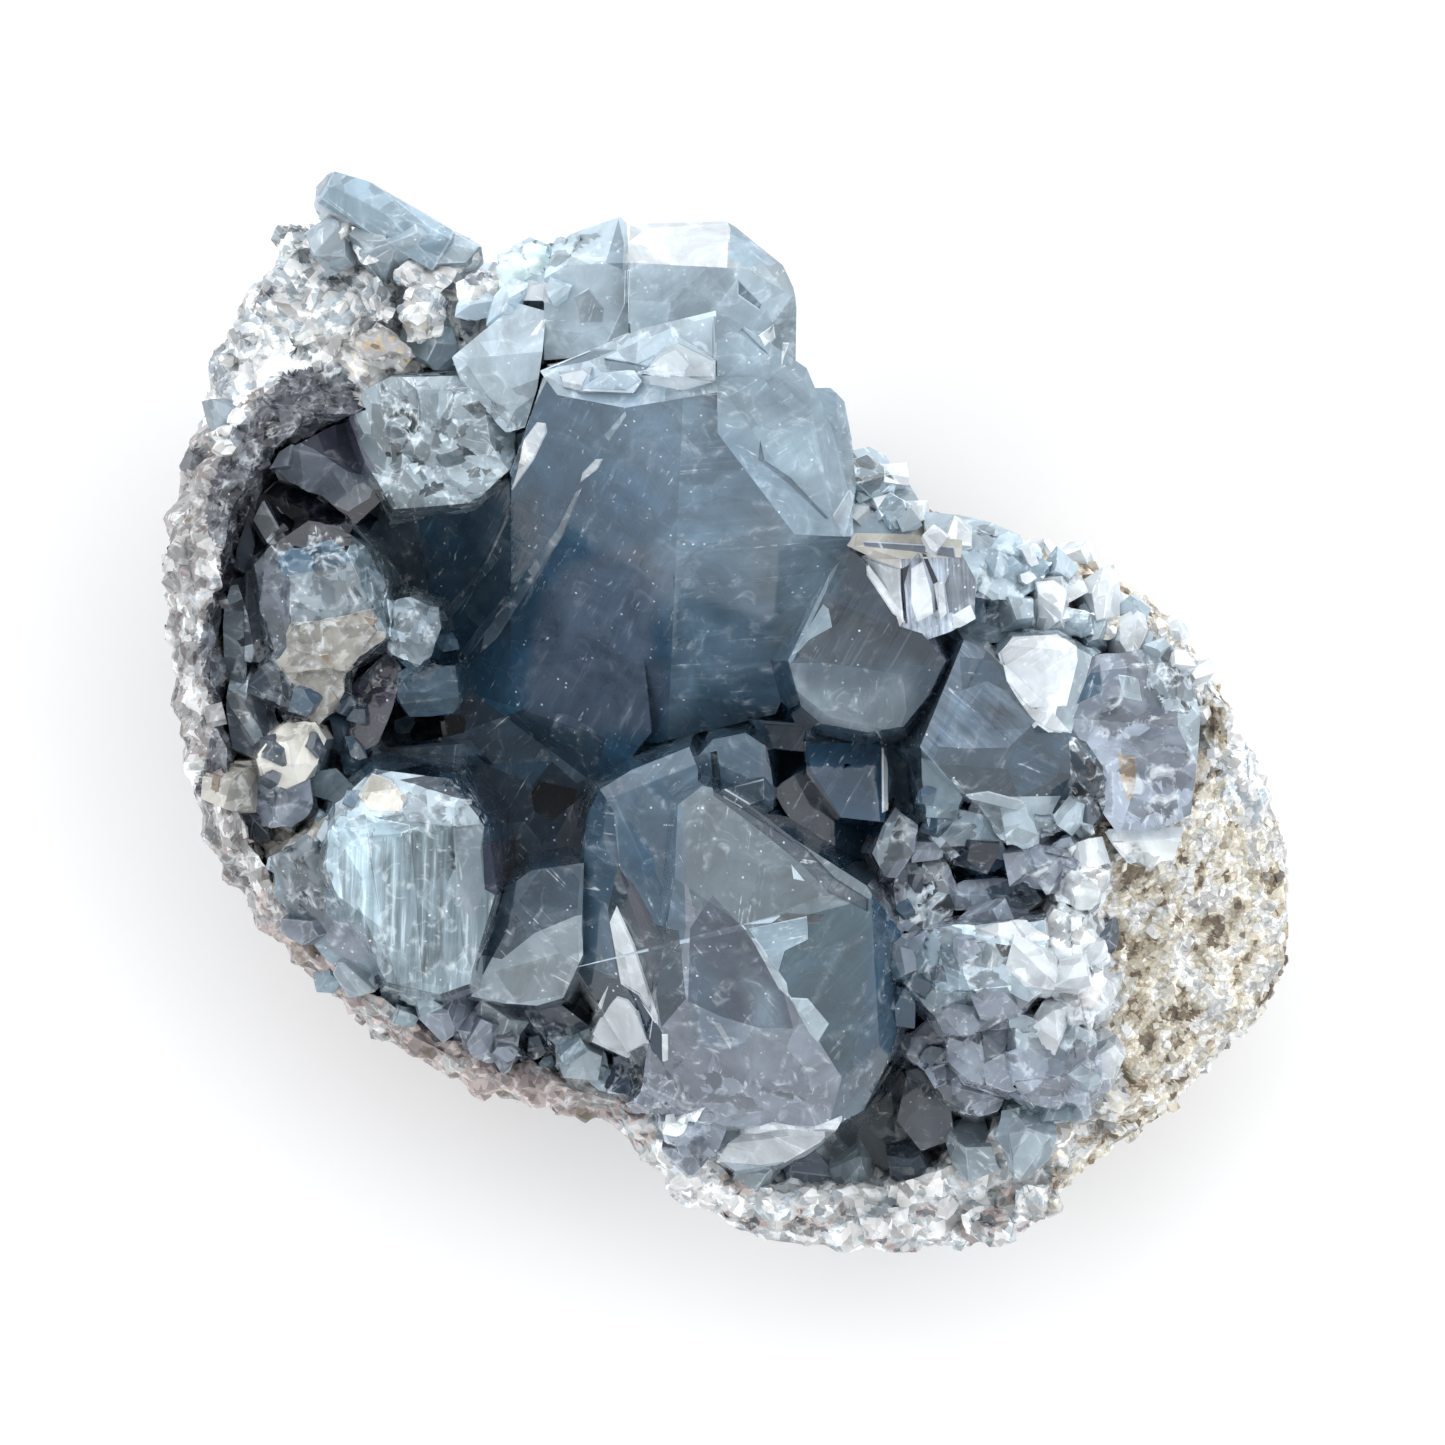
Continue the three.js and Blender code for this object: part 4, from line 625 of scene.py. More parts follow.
# Where each finish lies, in millimetres across the picture: x, y, finish and how light it is.
FACES = [
    (-10, 20, "deep", 1.5), (-8, 10, "deep", 1.8), (0, 22, "mist", 1), (6, 20, "mist", 1),
    (6, 9, "steel", 1.15), (-21, 12, "deep", 1.3), (-24, 6, "deep", 1.3), (-15, 1, "deep", 2.4),
    # The white seeds at the top of the large crystal, on this line and the next, are a painted
    # highlight.
    (-8, 33, "pale", 1.1), (-14.3, 29.5, "white", 1), (-11, 29.3, "white", 1),
    (-5, 31, "white", 1), (3, 30, "mist", 1.15), (7, 25, "mist", 1.1), (-5, 42, "white", 0.7),
    (-5, 36, "pale", 0.8), (3, 38, "milk", 0.75), (-13, 42.6, "pale", 1), (-13, 36, "milk", 1),
    (-18.4, 39, "pale", 1.3), (-22, 33, "pale", 1.15), (-19, 30, "pale", 0.95),
    (9, 24, "mist", 1.2), (-26, 26, "clear", 1), (-31, 25, "clear", 0.7), (-27, 21, "clear", 1.1),
    (-37, 25, "smoke", 1.4), (-43, 26, "lavender", 1.1), (-42, 17, "smoke", 1.1),
    (-39, 18.5, "painted_shade", 1.2), (-45.5, 16, "smoke", 1.3), (-37, 11, "milk", 0.55),
    (-33, 11, "mist", 0.65), (-43, 9, "smoke", 1.4), (-38, 3.4, "shell", 0.7),
    (-45.7, 7, "white", 0.8), (-29, 7.8, "pale", 1), (-28, 2, "night", 1.1),
    (-33, 1, "smoke", 0.8), (-40.3, -3.5, "shell", 1), (-44, 0, "smoke", 1.5),
    (-44.6, -6, "shell", 0.8), (-41, -8, "lavender", 1), (-42, -12, "shell", 0.6),
    (-36.5, -6, "mist", 1), (-28, -3.6, "night", 0.9), (-30, -13, "ice", 1),
    (-23.5, -14, "ice", 0.7), (-31.8, -7, "pale", 0.9), (-37, -16, "mist", 0.95),
    (-28, -22, "ice", 0.95), (-17, -17, "steel", 0.7), (-17, -22, "pale", 0.68),
    (-22.4, -29, "lavender", 0.9), (-17.5, -28.5, "rose", 0.9), (-14.5, -10, "slate", 0.7),
    (-20, -12, "night", 0.9), (-7, -12, "steel", 1), (-11, -15, "steel", 0.75),
    (-7, -24, "steel", 0.32), (0, -13, "mist", 0.58), (0, -26, "lavender", 0.8),
    (6, -19, "mist", 0.66), (10, -22, "teal", 1.6), (9, -31, "steel", 0.8),
    (2, -33, "lavender", 0.85), (14, -25, "deep", 1), (10, -4, "slate", 0.7), (10, -7, "night", 1),
    (9, -12, "deep", 0.8), (-0.5, -4, "steel", 1), (7, -2.3, "deep", 0.9),
    (-10, -28, "white", 0.9), (-13.7, -31.5, "mist", 1), (-9, -33, "rose", 1), (4, -38, "milk", 1),
    (-4.5, -37, "lavender", 1), (14, -38, "teal", 0.8), (10, 8, "deep", 0.4), (9, 3, "deep", 0.8),
    (13, 11.5, "white", 1.3), (17, 10.5, "striped", 3.2), (20.3, 11, "striped", 1.3),
    (15, 15, "shell", 0.8), (12, 21.5, "clear", 1.1), (13.5, 17.5, "pale", 0.9),
    (20, 15.5, "pale", 1), (26, 13, "pale", 1.2), (22.5, 8.8, "mist", 1), (29, 12, "white", 1.1),
    (29, 8.5, "pale", 1.15), (26, 4.5, "white", 1), (30, 3, "pale", 0.9), (22, 1, "scored", 0.95),
    (25, -4, "steel", 0.5), (29, -4, "deep", 0.8), (35, 3, "lavender", 0.9),
    (36, -5, "lavender", 1.5), (40, 1, "pale", 0.9), (18, -6.5, "mist", 0.9),
    (20.5, -11, "lavender", 1), (15.2, -5, "steel", 0.8), (25.5, -9.6, "pale", 0.95),
    (30.5, -8.4, "pale", 0.8), (27.5, -13, "lavender", 1), (23.5, -16.4, "lavender", 1.1),
    (22, -14, "painted_shade", 1.6), (14.5, -12, "lavender", 1.1), (17, -15.6, "lavender", 0.85),
    (31, -14.5, "white", 1), (37, -11.5, "white", 1.1), (18, -23, "lavender", 1),
    (24, -20.5, "pale", 1.2), (22, -26.5, "lavender", 0.9), (17.5, -30, "rose", 1),
    (22.5, -30.5, "lavender", 0.85), (28.5, -31.5, "pale", 0.8), (20.5, -34, "lavender", 0.75),
    (17.4, -36, "smoke", 0.8), (21.5, -40.5, "ice", 0.9), (26, -37.6, "mist", 1),
    (30, -20, "white", 1.05), (31, -25, "white", 1.05),
]

# Single facets, as corners in the picture: finish, how light, how far raised, and the outline.
FACETS = [
    # the steps at the top of the large crystal, raised, the white and pale ones with a painted
    # highlight
    ("white", 1, 0.2, [(-15.4, 30), (-13.4, 30.4), (-12.9, 29.9), (-13.4, 28.9), (-15.2, 29.3)]),
    ("pale", 1.1, 0.15, [
        (-13, 29.9), (-11.5, 30.1), (-9.4, 30.2), (-8.3, 29.4), (-9.6, 28.5), (-13.6, 28.7),
    ]),
    ("white", 1, 0.2, [
        (-8, 30.1), (-6.3, 31.6), (-5.2, 32.1), (-3.6, 30.4), (-1.9, 30.9), (-1.9, 29.5),
        (-7, 29.8),
    ]),
    ("pale", 1.15, 0.1, [
        (-10.2, 32.2), (-5.2, 34.3), (-1.9, 35.1), (-1.9, 31), (-5, 32.6), (-8.6, 30.8),
        (-11.6, 31.5),
    ]),
    ("mist", 0.8, -0.1, [(-11.6, 31.5), (-8.6, 30.9), (-6.8, 30.6), (-8.6, 30.2), (-11.4, 30.4)]),
    ("mist", 0.75, -0.1, [(-17.2, 30.4), (-13, 31.2), (-10.5, 32.2), (-12.5, 32.3), (-17, 31)]),
    ("mist", 1.2, 0, [
        (-1.9, 35.1), (0.2, 34.9), (4.5, 32.5), (6.3, 29), (8.6, 18), (4.6, 20.6), (1.8, 24.5),
        (-1.5, 29.2),
    ]),
    ("teal", 1.2, -0.15, [
        (2.2, 24.2), (2.6, 22.4), (4.9, 20.9), (8.3, 17.3), (8, 17.2), (4.6, 20.4), (2, 22.4),
    ]),
    ("mist", 0.8, -0.15, [(0.3, 33.6), (3, 31.6), (2.8, 31.9), (0.6, 34)]),
    # bright slits and stripes down its left side
    ("white", 1, 0.15, [
        (-18.8, 24.5), (-17.6, 26), (-16.8, 25.9), (-16.7, 25.1), (-18, 22.6), (-19.9, 20.1),
        (-19.4, 22),
    ]),
    ("white", 1, 0.15, [
        (-13.6, 21.5), (-12.4, 22.7), (-11.7, 22.7), (-12.2, 21.8), (-13.8, 20.6),
    ]),
    ("pale", 1, 0.1, [(-11.6, 24.8), (-9.7, 26.8), (-9.6, 26.4), (-11.2, 24.2)]),
    ("pale", 0.6, 0.15, [
        (-15.8, 16.8), (-14.2, 19.8), (-13.6, 20.2), (-15.4, 16), (-21.5, 7), (-23.2, 5.5),
        (-22.6, 7.6),
    ]),
    ("mist", 0.7, 0.12, [(-20.2, 18.6), (-19.2, 20), (-24, 10.5), (-25, 9)]),
    ("mist", 0.6, 0.12, [(-21.8, 14.6), (-21.3, 14), (-26, 8.5), (-26.4, 9.4)]),
    ("steel", 0.9, 0.12, [(-18.6, 13.4), (-18.2, 12.6), (-24.5, 5), (-24.8, 6)]),
    ("pale", 1, 0.1, [(9.6, 15.2), (10.6, 19.6), (10.2, 20.2), (8.6, 17.6)]),
    # the round-ended crystal at its right, and the striped one above
    ("deep", 0.62, 0, [
        (10.2, 14.6), (11.4, 13.6), (13.8, 8.9), (13.6, 8), (10, 9.5), (8, 10.5), (8.5, 13),
    ]),
    ("mist", 1.1, 0.15, [(5, 5.3), (7.8, 9.8), (8.3, 9.4), (8.6, 7.8), (6.5, 6.6), (5.6, 5.6)]),
    ("mist", 0.6, 0, [
        (4.7, 4.6), (5.4, 2.2), (8.4, -0.2), (14.6, -1.6), (15.3, 0.4), (14.9, 3.6), (8.2, 4.6),
    ]),
    ("white", 1, 0.2, [(11.6, 14), (14.6, 13), (15, 8.2), (14, 9), (11.7, 12.4)]),
    # the tall crystals below the middle
    ("slate", 1.1, 0, [
        (-13.3, -7.5), (-12.4, -6.2), (-11, -7.4), (-10.4, -13.2), (-11.4, -17.5), (-10.6, -23.8),
        (-13.4, -22.6), (-13.8, -19.5),
    ]),
    ("steel", 1, 0, [
        (-12.4, -6.2), (-9.2, -5.2), (-7, -5.4), (-4.6, -8.5), (-4.4, -19), (-5, -23.2),
        (-8, -18.5), (-10.3, -13.5), (-10.6, -9),
    ]),
    ("plum", 1, 0, [
        (-10.3, -14), (-9, -15.2), (-5.6, -21.5), (-5, -23.4), (-7.4, -23.8), (-8, -21),
    ]),
    ("white", 0.85, 0.2, [
        (-11.2, -18.5), (-10.6, -17.1), (-9, -20.6), (-8.1, -23.4), (-6.9, -27), (-6.9, -27.8),
        (-8.6, -25.2), (-10.2, -24.2),
    ]),
    ("white", 0.8, 0.2, [
        (-12.9, -28.8), (-11.2, -26), (-10.6, -25.3), (-9.6, -25.6), (-8.8, -26.6), (-7.6, -29.4),
        (-9.6, -30.5), (-12, -29.9),
    ]),
    ("white", 0.8, 0.15, [
        (-12.9, -27.8), (-12, -26.5), (-11.4, -24.4), (-11.8, -25), (-12.9, -27.2),
    ]),
    ("white", 0.9, 0.15, [(-6.6, -28.6), (-6, -28.6), (-6, -31), (-6.5, -31.2)]),
    ("night", 1.2, -0.1, [
        (-10, -24.2), (-8.6, -25), (-6.5, -28.5), (-6.4, -31.6), (-7.6, -30.2), (-9.2, -25.4),
    ]),
    ("mist", 0.5, 0, [
        (-4.6, -9.2), (-2.4, -7.2), (0.3, -8.6), (2.2, -11), (5.4, -14.2), (9.4, -15.4),
        (0.8, -18.8), (-3.8, -17), (-4.6, -12.5),
    ]),
    ("pale", 0.9, 0.1, [(5, -13.3), (6.2, -14.8), (5.2, -14.6)]),
    ("slate", 0.6, -0.25, [
        (-2.4, -3.4), (-1.9, -7.2), (1.2, -9.5), (5.8, -13.2), (8.4, -15.9), (11.9, -17.6),
        (11.9, -16.4), (8.9, -14.5), (6.5, -12), (1.7, -8.3), (-1.1, -6.6), (-1.6, -3.2),
    ]),
    ("smoke", 0.9, -0.1, [(0.6, -18.6), (4.6, -17.6), (8, -17.8), (7.6, -18.6), (3.8, -18.6)]),
    ("mist", 1.1, 0.1, [
        (1.2, -19), (6.4, -17.9), (6.5, -20), (4.4, -21), (3.8, -23), (2.4, -20.8),
    ]),
    ("rose", 0.95, 0, [
        (-4, -19), (-2, -16), (0.8, -19), (4.2, -24.2), (5.2, -28), (2.2, -28), (-1.2, -27),
        (-4.2, -25.6),
    ]),
    ("white", 0.95, 0.15, [(-2.1, -27.4), (-1.3, -27.6), (-0.3, -29.4), (-0.4, -30)]),
    ("pale", 1, 0.15, [
        (4.2, -24), (5, -25.2), (6.5, -25.3), (8.4, -27.6), (7.4, -29.3), (6.6, -28.4),
    ]),
    ("pale", 0.9, 0.1, [(1.4, -19.8), (1.9, -19.9), (4.6, -23.9), (4.8, -25.2), (3.9, -24.4)]),
    ("slate", 0.95, 0, [
        (12.2, -17), (14.8, -20.2), (15.1, -23.8), (13.9, -27), (11.6, -33.4), (10.2, -34.8),
        (10.8, -29), (12.2, -22),
    ]),
    ("mist", 0.8, 0.15, [(-1.2, -6.7), (2.6, -5.7), (2.6, -7.6), (0.6, -8.3), (-1, -7.4)]),
    ("night", 1, -0.1, [(2.6, -0.8), (6.4, -1), (6.4, -4.6), (4, -6.4), (2.8, -4)]),
    ("night", 2.2, 0, [
        (6.4, -2.6), (13.4, -2.4), (13.8, -8.6), (12.8, -11), (9.8, -9.6), (6.8, -4.8),
    ]),
    ("steel", 0.42, 0, [(-8, -18.6), (-5, -19.2), (-4.4, -25.4), (-6.6, -28), (-7.2, -24)]),
    ("rose", 0.8, 0, [(4, -6.2), (6.4, -4.8), (8.2, -7.8), (9.3, -13.6), (5, -9.6)]),
    ("white", 0.9, 0.15, [(13.2, -2.8), (13.7, -2.6), (13.7, -8.6), (13.2, -8.8)]),
    # the ones at the left of them
    ("slate", 0.85, 0, [
        (-22.8, -21.6), (-20, -15.8), (-16.8, -13), (-13.8, -13.6), (-14.2, -18), (-18, -19.6),
        (-21, -22),
    ]),
    # The paler lower half of this crystal is a painted highlight.
    ("milk", 0.7, 0, [
        (-23.4, -25), (-21, -22), (-18, -19.6), (-14.2, -18), (-14, -22.4), (-15.2, -25.2),
        (-19.5, -26),
    ]),
    ("slate", 0.9, 0, [(-26, -2), (-19, 0.6), (-15, 0), (-16.6, -4.2), (-22, -4.4)]),
    ("deep", 1.2, 0, [(-22, -4.4), (-16.6, -4.2), (-18.8, -6.8), (-22.6, -8.2), (-24.6, -6.4)]),
    ("steel", 0.7, 0, [(-16.6, -4.2), (-15, 0), (-11.6, -2), (-12.6, -5.4), (-14.4, -6.2)]),
    ("slate", 0.8, 0, [
        (-22.4, -9.6), (-19.4, -9.2), (-17.6, -11.6), (-18.8, -15.6), (-21.6, -16.2), (-22.6, -12),
    ]),
    ("night", 1.3, 0, [
        (-17.6, -11.6), (-15.6, -10.4), (-14.6, -12.4), (-16.6, -13.6), (-18.6, -14.6),
    ]),
    # Two pits, real hollows sunk 2.2 mm, whose very dark tones are also painted shade.
    ("night", 0.4, -2.2, [
        (-18.5, -7), (-17.8, -6), (-14.3, -6.8), (-14.6, -8), (-16.6, -9.6), (-18.2, -8.8),
    ]),
    ("painted_shade", 0.6, -2.2, [
        (-32, -2.3), (-30.7, 1), (-29.5, -0.2), (-25, 0), (-24.4, -0.5), (-24.6, -1.6),
        (-28.5, -2.4),
    ]),
    ("smoke", 1, 0, [(-15, -11.8), (-13.4, -7.6), (-14.4, -7.6), (-16.4, -11.4), (-15.8, -12.2)]),
    # the pale crystals behind the large one
    ("white", 0.85, 0, [(-9.8, 40), (-9.4, 42), (-7.8, 43.2), (-0.6, 43.7), (-0.7, 39.6)]),
    ("pale", 0.95, 0, [
        (-9.3, 40), (-0.3, 39.4), (0.2, 38.6), (-0.4, 36.2), (-5, 35), (-9.3, 33.2),
    ]),
    ("mist", 1.15, 0, [(-0.4, 43.4), (2.2, 41.2), (3.4, 40.2), (1, 39.6), (-0.6, 40.2)]),
    ("mist", 0.8, -0.1, [(0.2, 38.6), (2.4, 36.3), (2.2, 35.8), (0.2, 37.2)]),
    ("white", 0.95, 0.1, [(2, 33.6), (3.4, 34.6), (3.6, 33.4), (2.6, 32.4)]),
    ("white", 0.95, 0.1, [(4, 30.5), (4.8, 33), (4.2, 33)]),
    ("mist", 1.1, 0, [(-10.4, 44.2), (-9.9, 42), (-10, 39.6), (-11.5, 40.2)]),
    ("milk", 0.75, 0.1, [(-14.4, 37.2), (-13, 38), (-11.7, 36.2), (-11.8, 35), (-13.8, 34.9)]),
    ("pale", 0.95, 0.1, [
        (-9.8, 39.6), (-9.3, 39.4), (-9.3, 33.4), (-10, 32.6), (-11.4, 33.3), (-9.9, 36.5),
    ]),
    ("white", 0.95, 0.15, [(-19, 37), (-16.4, 36.6), (-16.6, 38.4), (-18.6, 38.9)]),
    ("white", 1, 0.1, [(-18.4, 33.6), (-17.2, 35.2), (-16.8, 35.2), (-17.6, 33.8)]),
    ("mist", 1.1, 0, [(-20.4, 25.6), (-18.7, 25.8), (-17.6, 28.6), (-19.6, 27.2)]),
    # the group at the right
    ("mist", 1.15, 0.1, [
        (24.4, 14.6), (27, 14.2), (28.6, 13.2), (27.2, 11.2), (26.4, 10.2), (24, 12.4),
    ]),
    ("steel", 1.15, 0, [
        (21.6, 11.2), (24, 9.6), (26, 8.4), (25.6, 7.2), (22.2, 8.2), (21.2, 9.8),
    ]),
    ("white", 1, 0.15, [
        (27.4, 12.4), (29.4, 13), (33, 12.2), (35, 10.4), (33, 8.8), (29.6, 9), (28.2, 10.4),
    ]),
    ("smoke", 1.6, 0.1, [
        (11.2, 15.4), (14.8, 15.2), (19.4, 14.9), (19.6, 13.9), (15.6, 14.5), (11.4, 14.9),
    ]),
    ("striped", 2.2, 0, [
        (15.2, 13.2), (16.2, 14.4), (17.6, 12.4), (18, 9.2), (16.2, 8.2), (15.1, 11.6),
    ]),
    ("white", 1, 0.1, [
        (15.6, 13), (16.6, 13.6), (17.4, 10.8), (17.6, 9), (16.2, 8.2), (15.6, 10),
    ]),
    ("painted_shade", 1.5, -0.1, [
        (16.4, 14.4), (17, 14.2), (18.1, 11.8), (18.2, 9.4), (17.7, 9), (17.6, 11.2),
    ]),
    ("painted_shade", 1.8, -0.1, [(14.6, 13), (15.6, 13.4), (15.1, 11.6), (15.4, 8), (15, 8), (14.7, 11)]),
    ("striped", 1, 0, [
        (18.6, 11.6), (19.5, 13.9), (20.4, 12.4), (20.9, 10.6), (19.6, 9.4), (19, 9),
    ]),
    ("white", 0.95, 0.15, [(17.6, 11.6), (18.4, 12), (18.8, 9), (18.2, 8.4)]),
    ("white", 0.95, 0.15, [(19.2, 8.8), (20.9, 9.8), (21.4, 8.6), (20.2, 7.9), (19.4, 7.7)]),
    ("white", 1, 0.1, [
        (23.6, 5.6), (25, 6.7), (27.6, 7.1), (30.4, 6.6), (30.6, 4.9), (29.6, 0.8), (26.4, 0.6),
        (24.2, 3),
    ]),
    ("white", 1, 0.1, [
        (24.2, 3), (26.6, 0.6), (28.4, 0.2), (30, -1.6), (28.2, -1.4), (26.5, -0.4), (25.2, 1.4),
    ]),
    ("slate", 1.1, 0, [(20, 5.2), (23, 4.8), (24, 3.2), (22, 1.6), (20.2, 2.2)]),
    ("scored", 1.15, 0, [
        (19.2, 1.8), (22.4, 3), (24, 2.2), (26.8, -0.6), (24.4, -2.9), (20.6, -3), (18, -2.8),
    ]),
    ("slate", 1, 0, [
        (25.2, -2.6), (27, -0.9), (29.4, -2.6), (28.8, -5.6), (25.4, -7.4), (24.4, -5),
    ]),
    ("sparkle", 0.9, 0, [
        (29.8, -1.8), (31.4, -2.4), (32.9, -4.6), (33.2, -8), (32.6, -10), (30.2, -9.4),
        (28.4, -8.8), (30, -5.6),
    ]),
    ("glitter", 0.75, 0, [
        (36.8, 5.8), (38.8, 5.6), (41, 4.2), (41.8, 2), (40.4, 0), (38, 0.6), (36.8, 2.6),
    ]),
    ("pale", 0.85, 0.1, [(34.2, 3.6), (36, 3.2), (36.4, 1.2), (34.8, 1.6)]),
    ("slate", 1.2, -0.1, [(31.8, 4.2), (32.6, 4.6), (33, 2), (30.4, 0.8)]),
    ("tan", 1.1, 0.1, [(34.2, -3.4), (35.8, -3.8), (36, -6), (35.4, -7.8), (34.6, -6.4)]),
    ("mist", 1, 0, [
        (16.6, -2.9), (19, -5.6), (21, -7.4), (24, -11.2), (25, -13.4), (20.4, -11.6), (18, -10.6),
        (17.2, -8.8),
    ]),
    ("milk", 0.9, 0.1, [
        (20.6, -7.1), (22.6, -6.8), (25.6, -7.6), (27, -9), (28, -10.6), (25.4, -11), (23.2, -9.6),
    ]),
    ("night", 1.2, -0.1, [(20.2, -12.8), (24.8, -13), (24.6, -14.6), (20.4, -15)]),
    ("scored", 0.8, 0.1, [
        (22.4, -15.8), (25.2, -14.4), (26.4, -15), (27.4, -16.8), (26, -17.6), (23.4, -17),
    ]),
    ("milk", 0.85, 0, [
        (13.6, -10), (15.6, -8.8), (16, -11), (14.6, -13.4), (13.2, -14.4), (12.8, -12.4),
    ]),
    ("glitter", 1, 0, [(17.2, -11), (18.4, -10.8), (20.2, -12.6), (18.8, -13.6), (17.8, -12.4)]),
    ("glitter", 0.8, 0, [
        (15.6, -13.4), (17, -12), (18.6, -14.4), (19.6, -17.2), (17.6, -19.6), (15.4, -18.4),
    ]),
    ("steel", 1.1, 0, [(13.6, -2.8), (15.2, -2.6), (17.2, -8.8), (15.4, -9), (13.9, -7)]),
    # the group at the left
    ("plum", 1.9, 0, [
        (-42.8, 28), (-40, 28.6), (-36, 28.6), (-34.4, 27.4), (-33.4, 24), (-32, 21.6),
        (-35, 22.2), (-38, 24), (-40.4, 25.6),
    ]),
    ("lavender", 1.05, 0, [
        (-41, 25.4), (-38, 24), (-35, 22), (-32.4, 21.4), (-33, 19.6), (-35, 18.4), (-39.6, 20.4),
        (-42, 22.8),
    ]),
    ("painted_shade", 1.2, -0.1, [
        (-46, 21.2), (-44, 22), (-39.8, 20.9), (-35, 18), (-32.6, 15.2), (-35, 16.4), (-38, 17.6),
        (-40, 17), (-43, 20.6),
    ]),
    ("white", 1, 0.3, [(-43.5, 17.6), (-42.6, 19.4), (-41.1, 16.8), (-42.2, 15.5)]),
    ("painted_shade", 1, 0, [(-42.5, 20.2), (-41.8, 19.9), (-40.6, 17.4), (-41.1, 16.9)]),
    ("steel", 1.1, 0, [
        (-41, 14.6), (-38.6, 15.2), (-36, 15.8), (-34.4, 13.8), (-37, 13), (-40.6, 12.4),
    ]),
    ("shell", 0.5, 0.2, [
        (-41, 6.4), (-39.4, 8.2), (-36, 8.8), (-32.4, 9.6), (-32, 7), (-34.4, 4.8), (-36.4, 2.4),
        (-35.4, 0.6), (-38.4, -0.4), (-41, 1.8),
    ]),
    ("tan", 0.8, 0.1, [(-33.6, 9), (-31.8, 8.6), (-32.6, 7.8)]),
    ("tan", 0.9, 0.1, [(-37.4, 5.4), (-36, 4), (-36.4, 5.6)]),
    ("smoke", 0.9, 0, [
        (-44, 12.6), (-43, 13), (-40.4, 8.8), (-40.2, 6), (-41.6, 4.4), (-44, 2.6),
    ]),
    ("glitter", 1.1, 0.1, [
        (-48, 8), (-47.4, 11.6), (-45, 11.8), (-44, 9), (-43.4, 5.8), (-44.2, 1), (-42.4, -2),
        (-43.4, -2.6), (-45.6, 0.6), (-47.4, 5.4),
    ]),
    ("smoke", 1, 0, [(-44, 2.4), (-41, 4.4), (-39.6, 2.6), (-40.4, -1), (-42.6, -2)]),
    ("shell", 1, 0.2, [
        (-42.9, -4), (-42.2, -2), (-40, -0.6), (-38, -0.9), (-36.9, -2.6), (-38, -5.4),
        (-40.4, -6.6), (-42.2, -5.8),
    ]),
    ("pale", 0.85, 0.1, [
        (-31.2, 10.4), (-29, 10.2), (-26.6, 9.2), (-27.2, 5.6), (-28.8, 5), (-31, 7),
    ]),
    ("steel", 0.8, 0, [
        (-30.4, 5), (-27, 4.2), (-25, 4.6), (-24.6, 1.2), (-25.4, 0.2), (-29.2, -0.4),
        (-30.4, 1.6),
    ]),
    ("plum", 0.8, 0, [
        (-31.6, 6.6), (-30.6, 4.6), (-30.4, 1.2), (-31.4, -1), (-34, -3.6), (-36, -2),
        (-34.8, 1.6), (-32.6, 3.4),
    ]),
    ("slate", 0.9, 0, [
        (-34.6, -4), (-30, -3), (-24.6, -2.6), (-22.4, -4.6), (-28, -4.4), (-33, -5.6),
    ]),
    # the group at the lower right
    ("mist", 0.85, 0, [
        (14.6, -22.8), (18.3, -18.8), (20.3, -19.2), (20.4, -23), (23, -27.2), (19.2, -28),
        (15.2, -24.2),
    ]),
    ("smoke", 1.2, -0.1, [(17.2, -22.6), (18.6, -22.4), (19, -24), (17.4, -23.8)]),
    ("glitter", 1.1, 0, [(20.4, -20), (24.6, -20.6), (24.4, -24.2), (21, -24.6), (20.4, -23)]),
    ("white", 0.95, 0.2, [(21.5, -19.2), (26, -18.4), (28, -20), (26, -20.6)]),
    ("lavender", 0.75, 0, [
        (15.2, -30), (17.6, -27.4), (19, -28), (19.2, -31.4), (17, -32), (15.4, -31),
    ]),
    ("lavender", 1, 0, [
        (19.2, -28), (22, -27.6), (23.6, -33.8), (22, -34), (19.6, -33.6), (19.3, -31),
    ]),
    ("smoke", 1.2, -0.1, [(21.8, -28.3), (25.2, -28), (25.4, -30), (22.4, -31.4)]),
    ("lavender", 1.1, 0, [
        (22.4, -31.4), (25.4, -30), (34.2, -30), (34, -33), (31.6, -35.4), (27.6, -35.6),
        (23.6, -33.8),
    ]),
    ("lavender", 1.35, 0.1, [(17, -32), (19, -31.4), (19.2, -33.2), (18.2, -33.8)]),
    ("smoke", 0.9, 0, [
        (14, -39.4), (16, -36.4), (18.8, -34.6), (20.4, -35.6), (19, -38.4), (17.6, -40.4),
    ]),
    ("teal", 0.8, 0, [
        (10.5, -36), (14, -39.4), (17.6, -40.4), (18.4, -42.4), (11, -42.6), (8.6, -40),
    ]),
    # the scaly crystal at the lower left and what lies round it
    ("ice", 1.5, 0, [
        (-36.4, -10.6), (-35, -8.4), (-33, -9), (-32.6, -13), (-31.6, -19), (-35.8, -16),
        (-36.6, -14),
    ]),
    ("ice", 1.2, 0.1, [
        (-33, -9), (-29, -9.8), (-28.4, -16), (-28, -23.8), (-30.2, -24.2), (-31.6, -19),
    ]),
    ("ice", 0.8, 0, [
        (-29, -9.8), (-25.2, -10), (-24.8, -14), (-24.8, -20), (-25.6, -24.4), (-28, -24),
    ]),
    ("milk", 0.95, 0.15, [
        (-29.8, -8.4), (-27.6, -6.8), (-25.4, -6), (-23.6, -7.8), (-22.4, -9.8), (-25.2, -10),
        (-29.2, -9.4),
    ]),
    ("milk", 0.6, 0, [
        (-25.2, -10), (-22.4, -9.8), (-22.8, -12), (-22.4, -15.8), (-23.6, -18.4), (-24.8, -16),
    ]),
    ("shell", 0.7, 0.2, [
